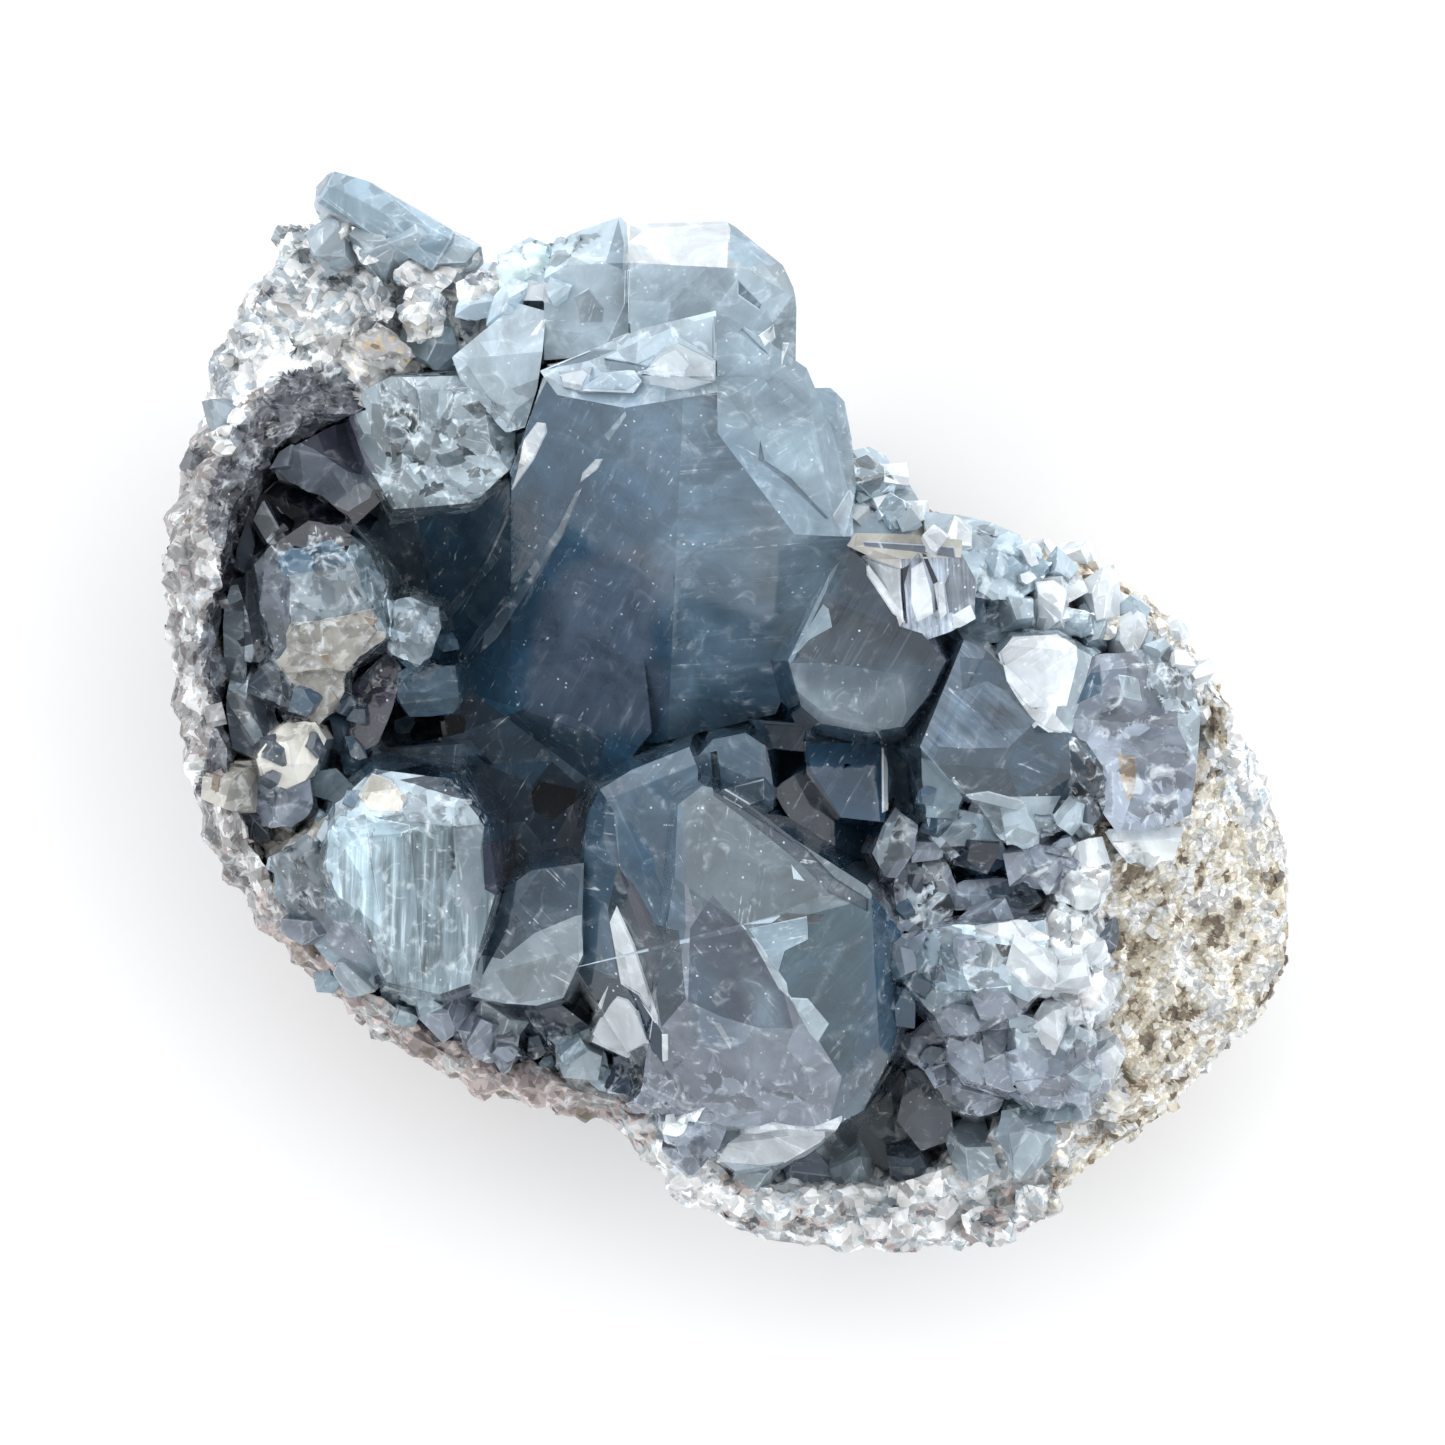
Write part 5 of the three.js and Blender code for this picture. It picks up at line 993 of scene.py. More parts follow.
        (-33.8, -7.2), (-32.4, -5.2), (-30.8, -5.8), (-29.2, -7.6), (-30, -8.8), (-32.6, -8.6),
    ]),
    ("milk", 0.4, 0, [
        (-41.6, -12.8), (-38.6, -10.6), (-36.8, -12), (-36.4, -14.6), (-37, -18.6), (-40.4, -17.6),
    ]),
    ("lavender", 0.8, 0, [
        (-37, -18.6), (-33.2, -18.8), (-32.6, -21), (-34.4, -22.8), (-36.8, -21),
    ]),
    ("plum", 0.9, 0, [
        (-22.6, -11.4), (-19.5, -11), (-19.8, -14.4), (-21.4, -16.2), (-22.4, -15.6),
    ]),
    ("night", 0.9, 0, [
        (-30, -5.8), (-22.4, -4.6), (-19, -6), (-18.6, -9.6), (-22.4, -10), (-24, -7.6),
        (-27.6, -6.6),
    ]),
    # the white shell and spike at the foot
    ("white", 0.85, 0.3, [
        (-1.6, -39.6), (0.6, -37.6), (3.4, -36.6), (6.6, -37.2), (9.6, -36), (8.6, -38),
        (6.2, -40), (2.4, -40.8), (-1.6, -40.4),
    ]),
    ("white", 1, 0.3, [(-6.1, -37.3), (-5.8, -36.6), (-2.6, -35.2), (-3.4, -36.2), (-5.4, -37.3)]),
]

# Soft changes of tone: x, y, radius, finish, how light and how strong.
CLOUDS = [
    (-4, 27, 9, "mist", 1, 0.7), (-12, 26, 7, "steel", 1.1, 0.6), (4, 25, 6, "mist", 1.2, 0.5),
    (-7, 18, 6, "deep", 1.3, 0.5), (-17, 15, 8, "night", 1.2, 0.5), (-24, 10, 8, "night", 1, 0.5),
    (3, 15, 5, "steel", 1, 0.4), (6, 17, 4, "mist", 1, 0.4), (-10, -4, 6, "deep", 1.2, 0.4),
]

# Shapes seen inside the crystals, with soft edges: finish, how light, how strong, how many
# millimetres the edge takes, and the outline.
SOFT_SHAPES = [
    # This rose shape is a painted reflection seen inside the large crystal.
    ("rose", 1.3, 0.9, 1, [
        (-18.4, 6), (-17.6, 10.6), (-15.2, 13.4), (-12.6, 14.2), (-9.2, 15.3), (-6, 15.2),
        (-4.2, 13.9), (-7.5, 7.5), (-5.6, 1.5), (-7.4, -1.6), (-14, -1.6), (-18.9, -0.2),
    ]),
    ("night", 1.2, 0.7, 1.2, [
        (-3.4, 12.9), (-1.5, 13.6), (-0.2, 11.5), (0.2, 8.4), (-2.6, 7.8), (-6.5, 8.2),
        (-8.2, 4.2), (-5.5, 4.3), (-1.5, 6.2),
    ]),
    ("mist", 0.9, 0.7, 1.2, [
        (3.5, 5.2), (6.6, 9.4), (9.9, 15.1), (10.4, 17.4), (8.6, 17.2), (6, 11.5), (2.6, 6.6),
    ]),
    ("steel", 1.2, 0.6, 1.5, [(0.5, 25), (4, 21.5), (8, 18), (7, 14), (1, 19), (-2, 25)]),
    ("night", 1, 0.6, 2, [(-25, 18), (-18, 19), (-16, 14), (-19, 5), (-26, 5)]),
    ("night", 1.5, 0.5, 2, [(-3, 3), (5, 4), (3, -1.5), (-5, -2)]),
    ("deep", 1.5, 0.5, 1.5, [(-9.5, -8), (-5.5, -9), (-5.5, -18), (-9, -14)]),
    ("slate", 1.2, 0.5, 1.5, [(-3.6, -21), (-1, -25), (1, -30), (-3, -30), (-4.4, -26)]),
    ("mist", 1.1, 0.5, 1.5, [(0.5, -22), (3.5, -25), (4.5, -29), (1.5, -28)]),
    ("mist", 1.05, 0.8, 0.8, [(8.2, 1.8), (12, 3), (15.2, 4.4), (15.6, 1.8), (11, 0.4), (8, 0.2)]),
    ("pale", 0.9, 0.7, 0.6, [
        (5, 3.4), (6, 1.6), (8.6, -0.6), (12.5, -1.6), (12, -0.8), (9, 0.2), (6.6, 2), (5.6, 3.8),
    ]),
    ("mist", 0.7, 0.85, 2.2, [(5.4, 4.6), (9, 3.6), (15.6, 4.4), (15.4, 0), (11, -1.6), (7, 0)]),
    ("slate", 0.7, 0.6, 1.6, [(6, 6.5), (14.5, 6.5), (15.6, 3.6), (10.5, 1.8), (5.6, 3.4)]),
    ("steel", 1.5, 0.55, 3, [(-9, 27), (-3, 27), (1, 20), (1, 6), (-4, 3), (-7, 14)]),
    ("mist", 1.1, 0.6, 2.6, [(1, 19), (6, 20), (9, 14), (7, 7), (3, 9), (0, 14)]),
    ("teal", 0.6, 0.5, 2, [(-31, 18), (-17, 20), (-20, 8), (-27, 8)]),
    ("night", 1.2, 0.5, 1.5, [(22, 2.6), (25, -0.4), (23.5, -2.4), (20, -1.6)]),
    ("deep", 1.2, 0.5, 1.5, [(12, -20), (14, -24), (12.6, -30), (10.8, -28)]),
]


def on_model(x, y, z=0.0):
    """The point of the model at a place in the picture."""
    return Vector(((x + PLAN_SHIFT[0]) / 1000, (y + PLAN_SHIFT[1]) / 1000, z))


crystal_mesh = merged_copy("crystals")
bmesh.ops.dissolve_limit(
    crystal_mesh,
    angle_limit=math.radians(1),
    verts=crystal_mesh.verts,
    edges=crystal_mesh.edges,
)
corners = [e for e in crystal_mesh.edges if e.is_convex and e.calc_face_angle(0) > 0.25]
tone_layer = crystal_mesh.faces.layers.float_color.new("tone")
facet_layer = crystal_mesh.faces.layers.float.new("facet")
busy_layer = crystal_mesh.faces.layers.float.new("busy")
lined_layer = crystal_mesh.faces.layers.float.new("lined")
cloud_layer = crystal_mesh.verts.layers.float_color.new("cloud")
seed_places = np.array([(x, y) for x, y, _, _ in FACES])
pick = random.Random(7)


def finish_face(face, finish, light, turn):
    """Gives a face its finish: its tone, how its growth lines run and how broken it looks."""
    colour, haze, busy, lined, run = FINISHES[finish]
    face[tone_layer] = (*(min(0.9, c * light) for c in colour), haze)
    face[facet_layer] = turn if run is None else (90 - run) % 360 / 360
    face[busy_layer] = busy
    face[lined_layer] = lined


for face in crystal_mesh.faces:
    here = np.array(on_picture(face.calc_center_median_weighted()))
    nearest = int(np.argmin(((seed_places - here) ** 2).sum(1)))
    _, _, finish, light = FACES[nearest]
    shaded_light = light * pick.uniform(0.92, 1.08)
    # Steep faces, the sides of the crystals and the gaps between them, are darkened: painted shade.
    if face.normal.z < 0.2:
        shaded_light *= 0.7
    finish_face(face, finish, shaded_light, pick.random())
ROUNDED_EDGE = 0.00011
rounding = bmesh.ops.bevel(
    crystal_mesh,
    geom=corners,
    offset=ROUNDED_EDGE,
    segments=1,
    profile=0.5,
    material=-1,
    affect="EDGES",
    clamp_overlap=True,
)


def paint_edge_highlight(faces):
    """Paints rounded edges paler and cloudier than the faces beside them: a painted edge highlight.
    """
    for face in faces:
        red, green, blue, _ = face[tone_layer]
        face[tone_layer] = (red * 0.7 + 0.24, green * 0.7 + 0.27, blue * 0.7 + 0.3, 0.85)


paint_edge_highlight(rounding["faces"])
first_surface = BVHTree.FromBMesh(crystal_mesh)


def cut_facet(mesh, corners, lift):
    """Cuts an outline straight down into the faces seen from above, raises or sinks what is
    inside it, and gives those faces and the ones round them."""
    points = [on_model(x, y) for x, y in corners]
    xs, ys = [p.x for p in points], [p.y for p in points]

    def beside(face, low_x, high_x, low_y, high_y):
        fx, fy = [v.co.x for v in face.verts], [v.co.y for v in face.verts]
        return max(fx) > low_x and min(fx) < high_x and max(fy) > low_y and min(fy) < high_y

    near = dict.fromkeys(
        f for f in mesh.faces if f.normal.z > 0.03 and beside(f, min(xs), max(xs), min(ys), max(ys))
    )
    for a, b in zip(points, points[1:] + points[:1]):
        box = (min(a.x, b.x), max(a.x, b.x), min(a.y, b.y), max(a.y, b.y))
        touched = [f for f in near if beside(f, *box)]
        if not touched:
            continue
        for face in touched:
            del near[face]
        edges = dict.fromkeys(e for f in touched for e in f.edges)
        verts = dict.fromkeys(v for f in touched for v in f.verts)
        cut = bmesh.ops.bisect_plane(
            mesh,
            geom=[*touched, *edges, *verts],
            dist=1e-7,
            plane_co=a,
            plane_no=Vector((b.y - a.y, a.x - b.x, 0)).normalized(),
        )
        near.update((g, None) for g in cut["geom"] if isinstance(g, bmesh.types.BMFace))
        near.update((f, None) for f in touched if f.is_valid)
    inside = []
    for face in near:
        middle = face.calc_center_median_weighted()
        if within(*on_picture(middle), corners):
            above = Vector((middle.x, middle.y, 0.1))
            top, _, _, _ = first_surface.ray_cast(above, Vector((0, 0, -1)))
            if top and top.z - middle.z < 0.0008:
                inside.append(face)
    border = []
    if lift and inside:
        border = bmesh.ops.inset_region(
            mesh, faces=inside, thickness=0.0001, depth=lift / 1000, use_even_offset=True
        )["faces"]
    return inside, border


for finish, light, lift, corners in FACETS:
    inside, border = cut_facet(crystal_mesh, corners, lift)
    turn = pick.random()
    for face in inside:
        finish_face(face, finish, light, turn)
    if lift > 0:
        for face in border:
            finish_face(face, finish, light, turn)
        paint_edge_highlight(border)

# Places where the crystals are crusted over or broken: width of the small crystals and height
# of the crust in millimetres, and the corners of the place in the picture.
CRUSTED = [
    (2.6, 2.2, [
        (27, -9.5), (33, -10), (38, -13), (39, -26), (35, -36), (28, -39), (25.5, -36.5),
        (30, -34), (32, -29.4), (27, -28.6), (28, -20.8), (29, -17), (28, -13),
    ]),
    (2.6, 2, [(33, 12), (42, 8), (48, 2), (48, -4), (43.5, -6), (42, 2), (37, 6.4), (31, 7)]),
    (2.4, 1.8, [(22, 17), (34, 13.6), (33, 12.4), (27, 12.6), (24, 14.8), (20, 14.4)]),
    (2.6, 2, [(-24, 42.6), (-12, 42.8), (-16, 40), (-21, 38), (-25, 38)]),
    (2.4, 1.8, [(-46, -4), (-43, -7), (-40, -7), (-36.8, -9), (-37, -12), (-42, -14), (-47, -10)]),
    (2.6, 2.2, [
        (-36, -24), (-26, -26), (-20, -27), (-14, -29), (-12, -31.5), (-6, -32.5), (-2, -36),
        (-3, -41), (-12, -38), (-28, -30),
    ]),
    (4.4, 0.9, [
        (15, -8), (27, -9.5), (28, -13), (29, -17), (28, -20.8), (27, -28.6), (32, -29.4),
        (30, -34), (25.5, -36.5), (20, -36), (15, -32), (14, -22), (13, -14),
    ]),
    (3.6, 0.6, [
        (31.5, 6.5), (38, 7), (43, 3), (43, -6), (38, -10), (32, -9), (31, -3), (33.5, 1),
    ]),
    (2.6, 0.9, [(-32, 29), (-24, 29.5), (-20, 27), (-18, 23), (-23, 19), (-30, 20)]),
    (2.4, 0.9, [
        (-42, 15), (-36, 16.5), (-31, 14), (-27, 10), (-27, 4), (-33, 1), (-37, -1), (-42, -3),
        (-43, 6),
    ]),
    (2, 0.5, [
        (-40.5, -12), (-36, -8), (-24, -4.8), (-22, -9.6), (-28, -10.5), (-36, -12), (-36, -20),
        (-40.5, -17),
    ]),
    (2.6, 0.7, [(-5.5, -30), (-1, -32.5), (3, -33.4), (6.5, -34.5), (0, -36.5), (-5.4, -34)]),
    (2.2, 0.8, [(22.5, 14.8), (26, 14.5), (33, 12), (31, 7), (27, 7.4), (21.4, 8.4), (21.6, 12)]),
]


def box_round(corners):
    """The least and the greatest x and y of an outline."""
    xs, ys = zip(*corners)
    return min(xs), max(xs), min(ys), max(ys)


crusted_boxes = [(*box_round(row[2]), row) for row in CRUSTED]


def crust_at(x, y):
    """The width and height of the crust at a place in the picture."""
    for left, right, low, high, (width, height, corners) in crusted_boxes:
        if left < x < right and low < y < high and within(x, y, corners):
            return width, height
    return None


CRUSTED_EDGE = 0.0006
PLAIN_EDGE = 0.00095


def finest(edge):
    """The longest edge that the crystals may have: short where a crust covers them."""
    if max(f.normal.z for f in edge.link_faces) < 0.12:
        return HIDDEN_EDGE
    return CRUSTED_EDGE if crust_at(*on_picture(edge.verts[0].co)) else PLAIN_EDGE


refine(crystal_mesh, finest, 8)
crystal_mesh.normal_update()
moves = []
for v in crystal_mesh.verts:
    found = v.normal.z > 0.05 and crust_at(*on_picture(v.co))
    if found:
        place = v.co * 1000
        width, height = found
        rise = crust(place, width)[0] - CRUST_MIDDLE
        rise += 0.3 * (crust(place, FINE_CRUST_WIDTH)[0] - CRUST_MIDDLE)
        moves.append((v, v.normal * height * rise / 1000))
for v, move in moves:
    v.co += move
for face in crystal_mesh.faces:
    middle = face.calc_center_median()
    found = face.normal.z > 0.05 and crust_at(*on_picture(middle))
    if found:
        _, own = crust(middle * 1000, found[0])
        red, green, blue, haze = face[tone_layer]
        light = 0.72 + 0.55 * own.y
        face[tone_layer] = (*(min(0.9, c * light) for c in (red, green, blue)), haze)
        face[busy_layer] = max(face[busy_layer], 0.75)
        face[facet_layer] = own.z
places = np.array([on_picture(v.co) for v in crystal_mesh.verts])
clouded = np.zeros((len(places), 4))


def depth_inside(corners):
    """How far inside an outline each place is, in millimetres, and less than 0 outside it."""
    nearest = np.full(len(places), 99.0)
    inside = np.zeros(len(places), bool)
    for (x1, y1), (x2, y2) in zip(corners, corners[1:] + corners[:1]):
        way = np.array((x2 - x1, y2 - y1))
        from_start = places - (x1, y1)
        along = np.clip(from_start @ way / (way @ way), 0, 1)
        nearest = np.minimum(nearest, np.hypot(*(from_start - along[:, None] * way).T))
        crosses = (places[:, 1] < y1) != (places[:, 1] < y2)
        reach = x1 + (places[:, 1] - y1) * (x2 - x1) / ((y2 - y1) or 1e-9)
        inside ^= crosses & (places[:, 0] < reach)
    return np.where(inside, nearest, -nearest)


patches = []
for x, y, radius, finish, light, strength in CLOUDS:
    far = np.hypot(places[:, 0] - x, places[:, 1] - y) / radius
    patches.append((strength * np.clip(1 - far, 0, 1) ** 0.7, finish, light))
for finish, light, strength, edge, corners in SOFT_SHAPES:
    patches.append((strength * np.clip(0.5 + depth_inside(corners) / edge, 0, 1), finish, light))
for share, finish, light in patches:
    covered = clouded[:, 3]
    whole = share + covered * (1 - share)
    safe = np.where(whole > 0, whole, 1)
    colour = np.array(FINISHES[finish][0]) * light
    for channel in range(3):
        old = clouded[:, channel]
        clouded[:, channel] = (colour[channel] * share + old * covered * (1 - share)) / safe
    clouded[:, 3] = whole
for v, value in zip(crystal_mesh.verts, clouded):
    v[cloud_layer] = value

crystal_material = mineral("celestite", 0.0014, 0.007, 0.55, 0.03, 0.05, 6.0)
crystal_tree_ready = BVHTree.FromBMesh(crystal_mesh)
rock_tree_ready = BVHTree.FromBMesh(rind_mesh)


def seen_from_above(x, y):
    """The first place that a straight look down at x, y of the picture meets, and its normal."""
    start = on_model(x, y, 0.1)
    best = None
    for surface in (crystal_tree_ready, rock_tree_ready):
        spot, normal, _, _ = surface.ray_cast(start, Vector((0, 0, -1)))
        if spot and (best is None or spot.z > best[0].z):
            best = (spot, normal)
    return best


# The grains of the rind.
# Grains of the same minerals, half sunk in the rock of the slope at the right and thinly along
# the rim, from clear to brown. A few blocky shapes are repeated, each turned and stretched in
# its own way. The rind and the crystals become pieces after them, because they grow on both.
class Bed:
    """Small blocky crystals set one by one. They are planted in short rows, because each copy
    takes longer the more the mesh already holds."""

    ROW_LENGTH = 150

    def __init__(self, pick, kinds, cuts, rounding=0):
        self.pick = pick
        self.rows = []
        self.planted = 0
        self.kinds = bpy.data.meshes.new("kinds")
        mesh = bmesh.new()
        for layer in ("facet", "busy", "lined"):
            mesh.faces.layers.float.new(layer)
        mesh.faces.layers.float_color.new("tone")
        cloud = mesh.verts.layers.float_color.new("cloud")
        number = mesh.faces.layers.int.new("kind")
        edge = mesh.faces.layers.int.new("edge")
        for kind in range(kinds):
            faces = self.cut_block(mesh, cuts)
            for face in faces:
                face[number] = kind
            if rounding:
                rounded = bmesh.ops.bevel(
                    mesh,
                    geom=list(dict.fromkeys(e for f in faces for e in f.edges)),
                    offset=rounding,
                    segments=1,
                    profile=0.5,
                    material=-1,
                    affect="EDGES",
                    clamp_overlap=True,
                )
                for face in rounded["faces"]:
                    face[number] = kind
                    face[edge] = 1
        for v in mesh.verts:
            v[cloud] = (0, 0, 0, 0)
        mesh.to_mesh(self.kinds)
        mesh.free()
        self.start_row()

    def cut_block(self, mesh, cuts):
        """A block one unit wide with random slices off its upper part, as its faces."""
        old = set(mesh.faces)
        bmesh.ops.create_cube(mesh, size=1.0)
        for _ in range(cuts):
            sideways = (self.pick.gauss(0, 1), self.pick.gauss(0, 1))
            tilt = Vector((*sideways, abs(self.pick.gauss(0.5, 0.6)))).normalized()
            faces = [f for f in mesh.faces if f not in old]
            verts = dict.fromkeys(v for f in faces for v in f.verts)
            edges = dict.fromkeys(e for f in faces for e in f.edges)
            cut = bmesh.ops.bisect_plane(
                mesh,
                geom=[*verts, *edges, *faces],
                plane_co=tilt * self.pick.uniform(0.38, 0.55),
                plane_no=tilt,
                clear_outer=True,
            )
            rim = [g for g in cut["geom_cut"] if isinstance(g, bmesh.types.BMEdge)]
            if rim:
                bmesh.ops.holes_fill(mesh, edges=rim, sides=0)
        return [f for f in mesh.faces if f not in old]

    def start_row(self):
        self.row = bmesh.new()
        self.row.from_mesh(self.kinds)
        number = self.row.faces.layers.int["kind"]
        groups = {}
        for face in self.row.faces:
            groups.setdefault(face[number], []).append(face)
        self.shapes = []
        for _, faces in sorted(groups.items()):
            verts = dict.fromkeys(v for f in faces for v in f.verts)
            edges = dict.fromkeys(e for f in faces for e in f.edges)
            self.shapes.append([*verts, *edges, *faces])

    def end_row(self):
        first = [g for shape in self.shapes for g in shape if isinstance(g, bmesh.types.BMVert)]
        bmesh.ops.delete(self.row, geom=first, context="VERTS")
        data = bpy.data.meshes.new("row")
        self.row.to_mesh(data)
        self.row.free()
        self.rows.append(data)

    def plant(self, spot, up, size, look, uneven=0.2):
        """Sets a turned and stretched copy of one of the blocks at spot, pointing along up."""
        made = bmesh.ops.duplicate(self.row, geom=self.pick.choice(self.shapes))["geom"]
        place = (
            Matrix.Translation(spot)
            @ up.to_track_quat("Z", "Y").to_matrix().to_4x4()
            @ Matrix.Rotation(self.pick.uniform(0, 6.28), 4, "Z")
            @ Matrix.Diagonal((*size, 1))
        )
        verts = [g for g in made if isinstance(g, bmesh.types.BMVert)]
        bmesh.ops.transform(self.row, matrix=place, verts=verts)
        tone = self.row.faces.layers.float_color["tone"]
        facet = self.row.faces.layers.float["facet"]
        busy = self.row.faces.layers.float["busy"]
        edge = self.row.faces.layers.int["edge"]
        colour, haze, busyness = look
        for face in (g for g in made if isinstance(g, bmesh.types.BMFace)):
            light = self.pick.uniform(1 - uneven, 1 + uneven)
            # Rounded edges are painted paler: a painted edge highlight.
            if face[edge]:
                face[tone] = (*(c * 0.85 + 0.1 for c in colour), 0.8)
            else:
                face[tone] = (*(min(0.92, c * light) for c in colour), haze)
            face[facet] = self.pick.random()
            face[busy] = busyness
        self.planted += 1
        if self.planted % self.ROW_LENGTH == 0:
            self.end_row()
            self.start_row()

    def gathered(self):
        """All the rows in one mesh."""
        self.end_row()
        mesh = bmesh.new()
        for data in self.rows:
            mesh.from_mesh(data)
            bpy.data.meshes.remove(data)
        bpy.data.meshes.remove(self.kinds)
        return mesh


GRAINS_TRIED = 6000
LEFT_OUT_OFF_THE_SLOPE = 0.93
pick = random.Random(21)
grain_bed = Bed(pick, 7, 3)
open_faces = [f for f in rind_mesh.faces if f.normal.z > -0.3 and f.calc_center_median().z > 0.006]
face_sizes = [f.calc_area() for f in open_faces]
taken = set()
for face in pick.choices(open_faces, weights=face_sizes, k=GRAINS_TRIED):
    a, b = sorted((pick.random(), pick.random()))
    p, q, r = (v.co for v in face.verts)
    spot = p * a + q * (b - a) + r * (1 - b)
    x, y = on_picture(spot)
    top = seen_from_above(x, y)
    outward = Vector((spot.x, spot.y, 0)).normalized()
    outside = face.normal.dot(outward) > 0.35 and pick.random() < (spot.z - 0.006) / 0.012
    if not outside and (top is None or top[0].z - spot.z > 0.0006):
        continue
    side = rock_place(x, y)
    if side == "spur" or side != "right" and pick.random() < LEFT_OUT_OFF_THE_SLOPE:
        continue
    wide = pick.uniform(0.0005, 0.0011) if side == "right" else pick.uniform(0.0008, 0.002)
    cell = (round(spot.x / wide * 1.3), round(spot.y / wide * 1.3), round(spot.z / wide * 1.3))
    if cell in taken:
        continue
    taken.add(cell)
    tone_name = by_place(ROCK_MIXES[side], spot * 1000, pick.gauss(0, 0.15))
    up = (face.normal + Vector([pick.gauss(0, 0.5) for _ in range(3)])).normalized()
    size = (wide, wide * pick.uniform(0.7, 1), wide * pick.uniform(0.7, 1.1))
    colour, haze = ROCK_TONES[tone_name]
    grain_bed.plant(spot - up * wide * 0.2, up, size, (colour, haze * 0.9, 0.6), 0.1)

grain_material = mineral("grain_mineral", 0.0005, 0.0012, 0.5, 0.02, 0.3, 0)
new_piece("rind_shell", rind_mesh, [rock_material, crust_material], "rind", 24)
new_piece("rind_grains", grain_bed.gathered(), [grain_material])
new_piece("grown_crystals", crystal_mesh, [crystal_material], "crystals", 20)


# The small crystals.
# Stubby crystals of a few millimetres that line the hollow and sit between the large ones, pale
# along the upper right and glassy and darker at the left. Each grows out of what lies under it.
SMALL_MIXES = {
    "bright": [("shell", 3), ("white", 7), ("pale", 5), ("lavender", 3)],
    "dark": [("smoke", 3), ("slate", 3), ("steel", 4), ("milk", 1)],
}

# Where they sit: mix, how many, smallest and largest width, and the corners of the place.
SMALL_PLACES = [
    ("bright", 26, 1.8, 3.4, [
        (14, 16.4), (14, 19), (22, 17), (34, 14), (42, 8), (47, 1), (42, 2), (36, 7), (28, 9),
        (23, 13),
    ]),
    ("bright", 6, 1.6, 3, [(10, 17), (10, 23), (15, 21), (16, 17)]),
    ("dark", 12, 1.6, 3, [
        (-45, -8), (-42, 2), (-36, 3), (-28, 8), (-25, 6), (-27, -2), (-33, -7), (-38, -12),
    ]),
    ("under", 20, 2.2, 4.4, [
        (16, -7), (27, -8), (33, -10), (35, -20), (34, -34), (27, -38), (20, -36), (15, -32),
        (15, -20), (13, -12),
    ]),
    ("under", 14, 2, 4, [
        (-36, -23.6), (-26, -25), (-20, -26.6), (-14, -30), (-16, -32), (-28, -28.6), (-37, -24.6),
    ]),
    ("under", 10, 2, 3.6, [(-24.6, 37.8), (-16, 38.4), (-15, 36.6), (-20, 36), (-24.6, 35.6)]),
    ("dark", 12, 1.6, 3, [
        (13, 4), (17, -2), (16, -10), (14, -20), (15, -32), (19, -36), (17, -24), (17, -14),
        (20, -6),
    ]),
]


pick = random.Random(5)
small_bed = Bed(pick, 8, 5)
for mix_name, count, least, most, corners in SMALL_PLACES:
    xs, ys = zip(*corners)
    placed = []
    for _ in range(count * 12):
        if len(placed) >= count:
            break
        x, y = pick.uniform(min(xs), max(xs)), pick.uniform(min(ys), max(ys))
        wide = least + (most - least) * pick.random() ** 1.6
        if not within(x, y, corners) or any(
            math.hypot(x - px, y - py) < (wide + other) * 0.36 for px, py, other in placed
        ):
            continue
        top = seen_from_above(x, y)
        if top is None:
            continue
        placed.append((x, y, wide))
        spot, normal = top
        up = (normal * 0.7 + Vector((pick.gauss(0, 0.35), pick.gauss(0, 0.35), 0.6))).normalized()
        if mix_name == "under":
            nearest = int(np.argmin(((seed_places - np.array((x, y))) ** 2).sum(1)))
            _, _, finish, light = FACES[nearest]
        else:
            finish, light = by_place(SMALL_MIXES[mix_name], spot * 1000, pick.gauss(0, 0.12)), 1
        colour, haze, busy = FINISHES[finish][:3]
        look = ([min(0.9, c * light) for c in colour], haze, max(busy, 0.4))
        wide *= 0.001
        size = (wide, wide * pick.uniform(0.65, 1), wide * pick.uniform(0.9, 1.5))
        small_bed.plant(spot - up * wide * 0.22, up, size, look, 0.12)

small_material = mineral("small_celestite", 0.0009, 0.002, 0.5, 0.02, 0.08, 0)
new_piece("small_crystals", small_bed.gathered(), [small_material])


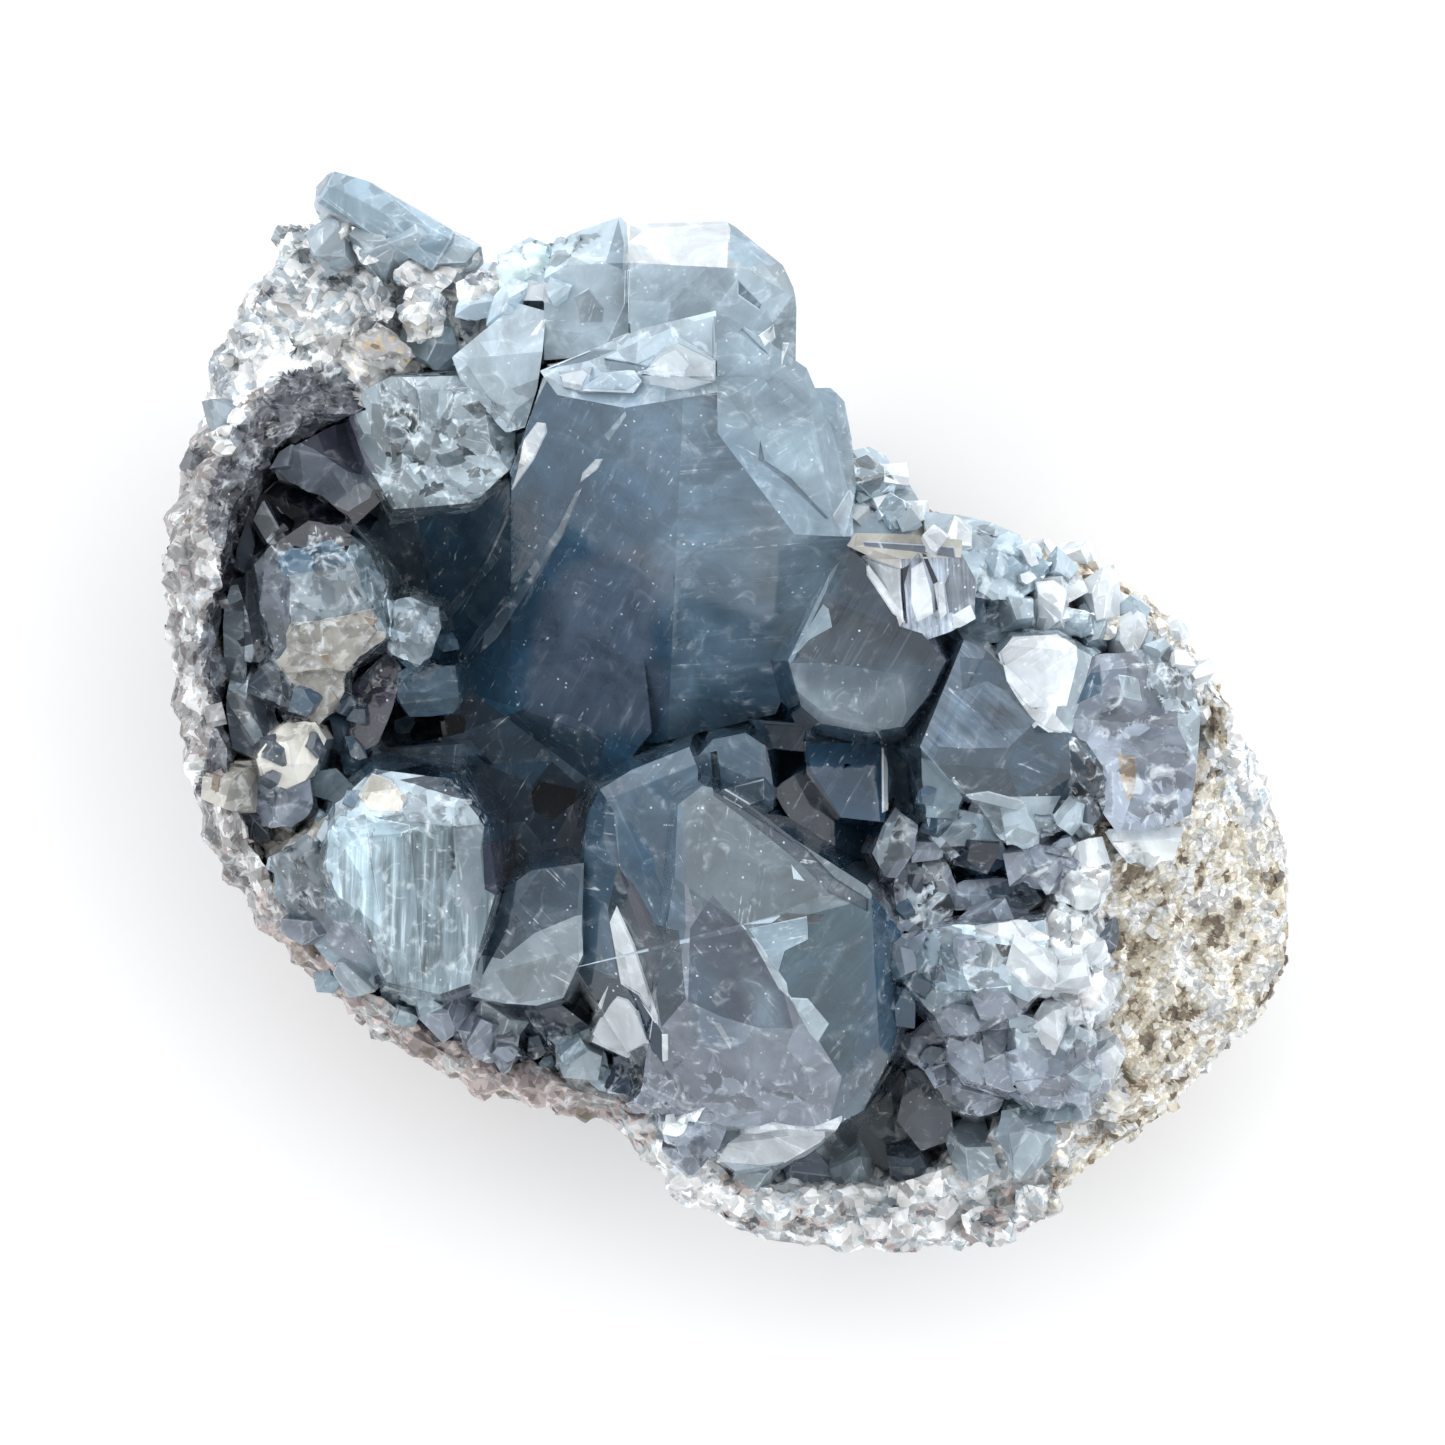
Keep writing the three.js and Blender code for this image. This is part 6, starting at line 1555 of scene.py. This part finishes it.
# The crystals along the edge.
# Crystals of the same mineral, up to 12 mm long, that grew on the rim and lean out over it, with
# a few that stand in the gaps. Each is given by its place in the picture: x, y, width, length,
# heading and rise in degrees, finish and how light it is.
SINGLE = [
    (-32, 45, 4, 12, 150, 10, "mist", 1.3), (-32, 42.3, 4, 4.5, 100, 60, "milk", 1),
    (-36.4, 42.9, 4.2, 4.5, 130, 60, "milk", 0.95), (-29.2, 42.6, 3.4, 7, 20, 20, "pale", 0.95),
    (-25, 41.6, 4.6, 4.2, 90, 75, "pale", 1.05), (-21.4, 40.2, 4.4, 6, 60, 40, "pale", 1.05),
    (-4.4, -40.2, 4.2, 4, 260, 60, "lavender", 0.95),
    (1.6, -41.8, 4.4, 4, 270, 60, "milk", 0.9), (6.4, -42.2, 4.6, 4, 270, 60, "lavender", 1),
    (11.4, -42.4, 4.6, 4.2, 270, 60, "milk", 0.9), (16.2, -42.2, 4.2, 4, 280, 60, "smoke", 1.3),
    (28.6, 9.8, 4, 4, 60, 60, "white", 0.95), (32.2, 8.2, 4, 4, 60, 60, "pale", 1.05),
    (35.8, 7.2, 4, 4, 60, 60, "white", 0.95), (25.4, 9.6, 3.4, 3.4, 60, 60, "pale", 0.95),
    (-30.6, -25.6, 4.6, 4.4, 240, 60, "milk", 0.85),
    (-26.4, -26.8, 4.2, 4, 250, 60, "lavender", 0.8),
    (-34.6, -23.4, 4.4, 4.2, 230, 60, "milk", 0.8), (-38.6, -19.6, 4, 4, 220, 60, "lavender", 0.8),
    (-26.4, 33, 4, 5, 330, 30, "pale", 1), (-46, 26.6, 3.6, 4, 180, 60, "milk", 1),
    (-45.8, -6.8, 4.2, 4, 200, 70, "shell", 0.85), (-43.6, -9.6, 3.6, 3.6, 210, 70, "smoke", 1.2),
    (-14.2, -31.2, 5, 4.2, 260, 70, "milk", 0.85), (-22, -28.4, 4.8, 4.2, 240, 70, "milk", 0.8),
    (21.6, -40.2, 5, 5, 280, 70, "milk", 1), (27, -39, 4.8, 5, 290, 50, "milk", 0.95),
    (26.6, -22.2, 4.6, 4.4, 60, 75, "white", 0.95), (33.2, -20.2, 3.6, 5, 280, 40, "smoke", 1.7),
    (33.4, -31.6, 4.6, 4.4, 330, 60, "white", 1), (12.2, 21.2, 4.6, 5, 70, 60, "clear", 1.1),
    (14.6, 18.2, 3.8, 4.4, 50, 60, "clear", 1.15), (33, 10.6, 4.6, 4.2, 60, 65, "white", 1),
]
single_bed = Bed(pick, 9, 7, 0.02)
for x, y, wide, long, heading, rise, finish, light in SINGLE:
    top = seen_from_above(x, y)
    if top is None:
        continue
    around, lift = math.radians(heading), math.radians(rise)
    level = math.cos(lift)
    up = Vector((math.cos(around) * level, math.sin(around) * level, math.sin(lift)))
    colour, haze, busy = FINISHES[finish][:3]
    look = (tuple(min(0.9, c * light) for c in colour), haze * 0.85, max(busy, 0.4))
    size = (wide / 1000, wide * pick.uniform(0.75, 0.95) / 1000, long / 1000)
    single_bed.plant(top[0] - up * wide * 0.0002, up, size, look, 0.15)

new_piece("edge_crystals", single_bed.gathered(), [small_material])
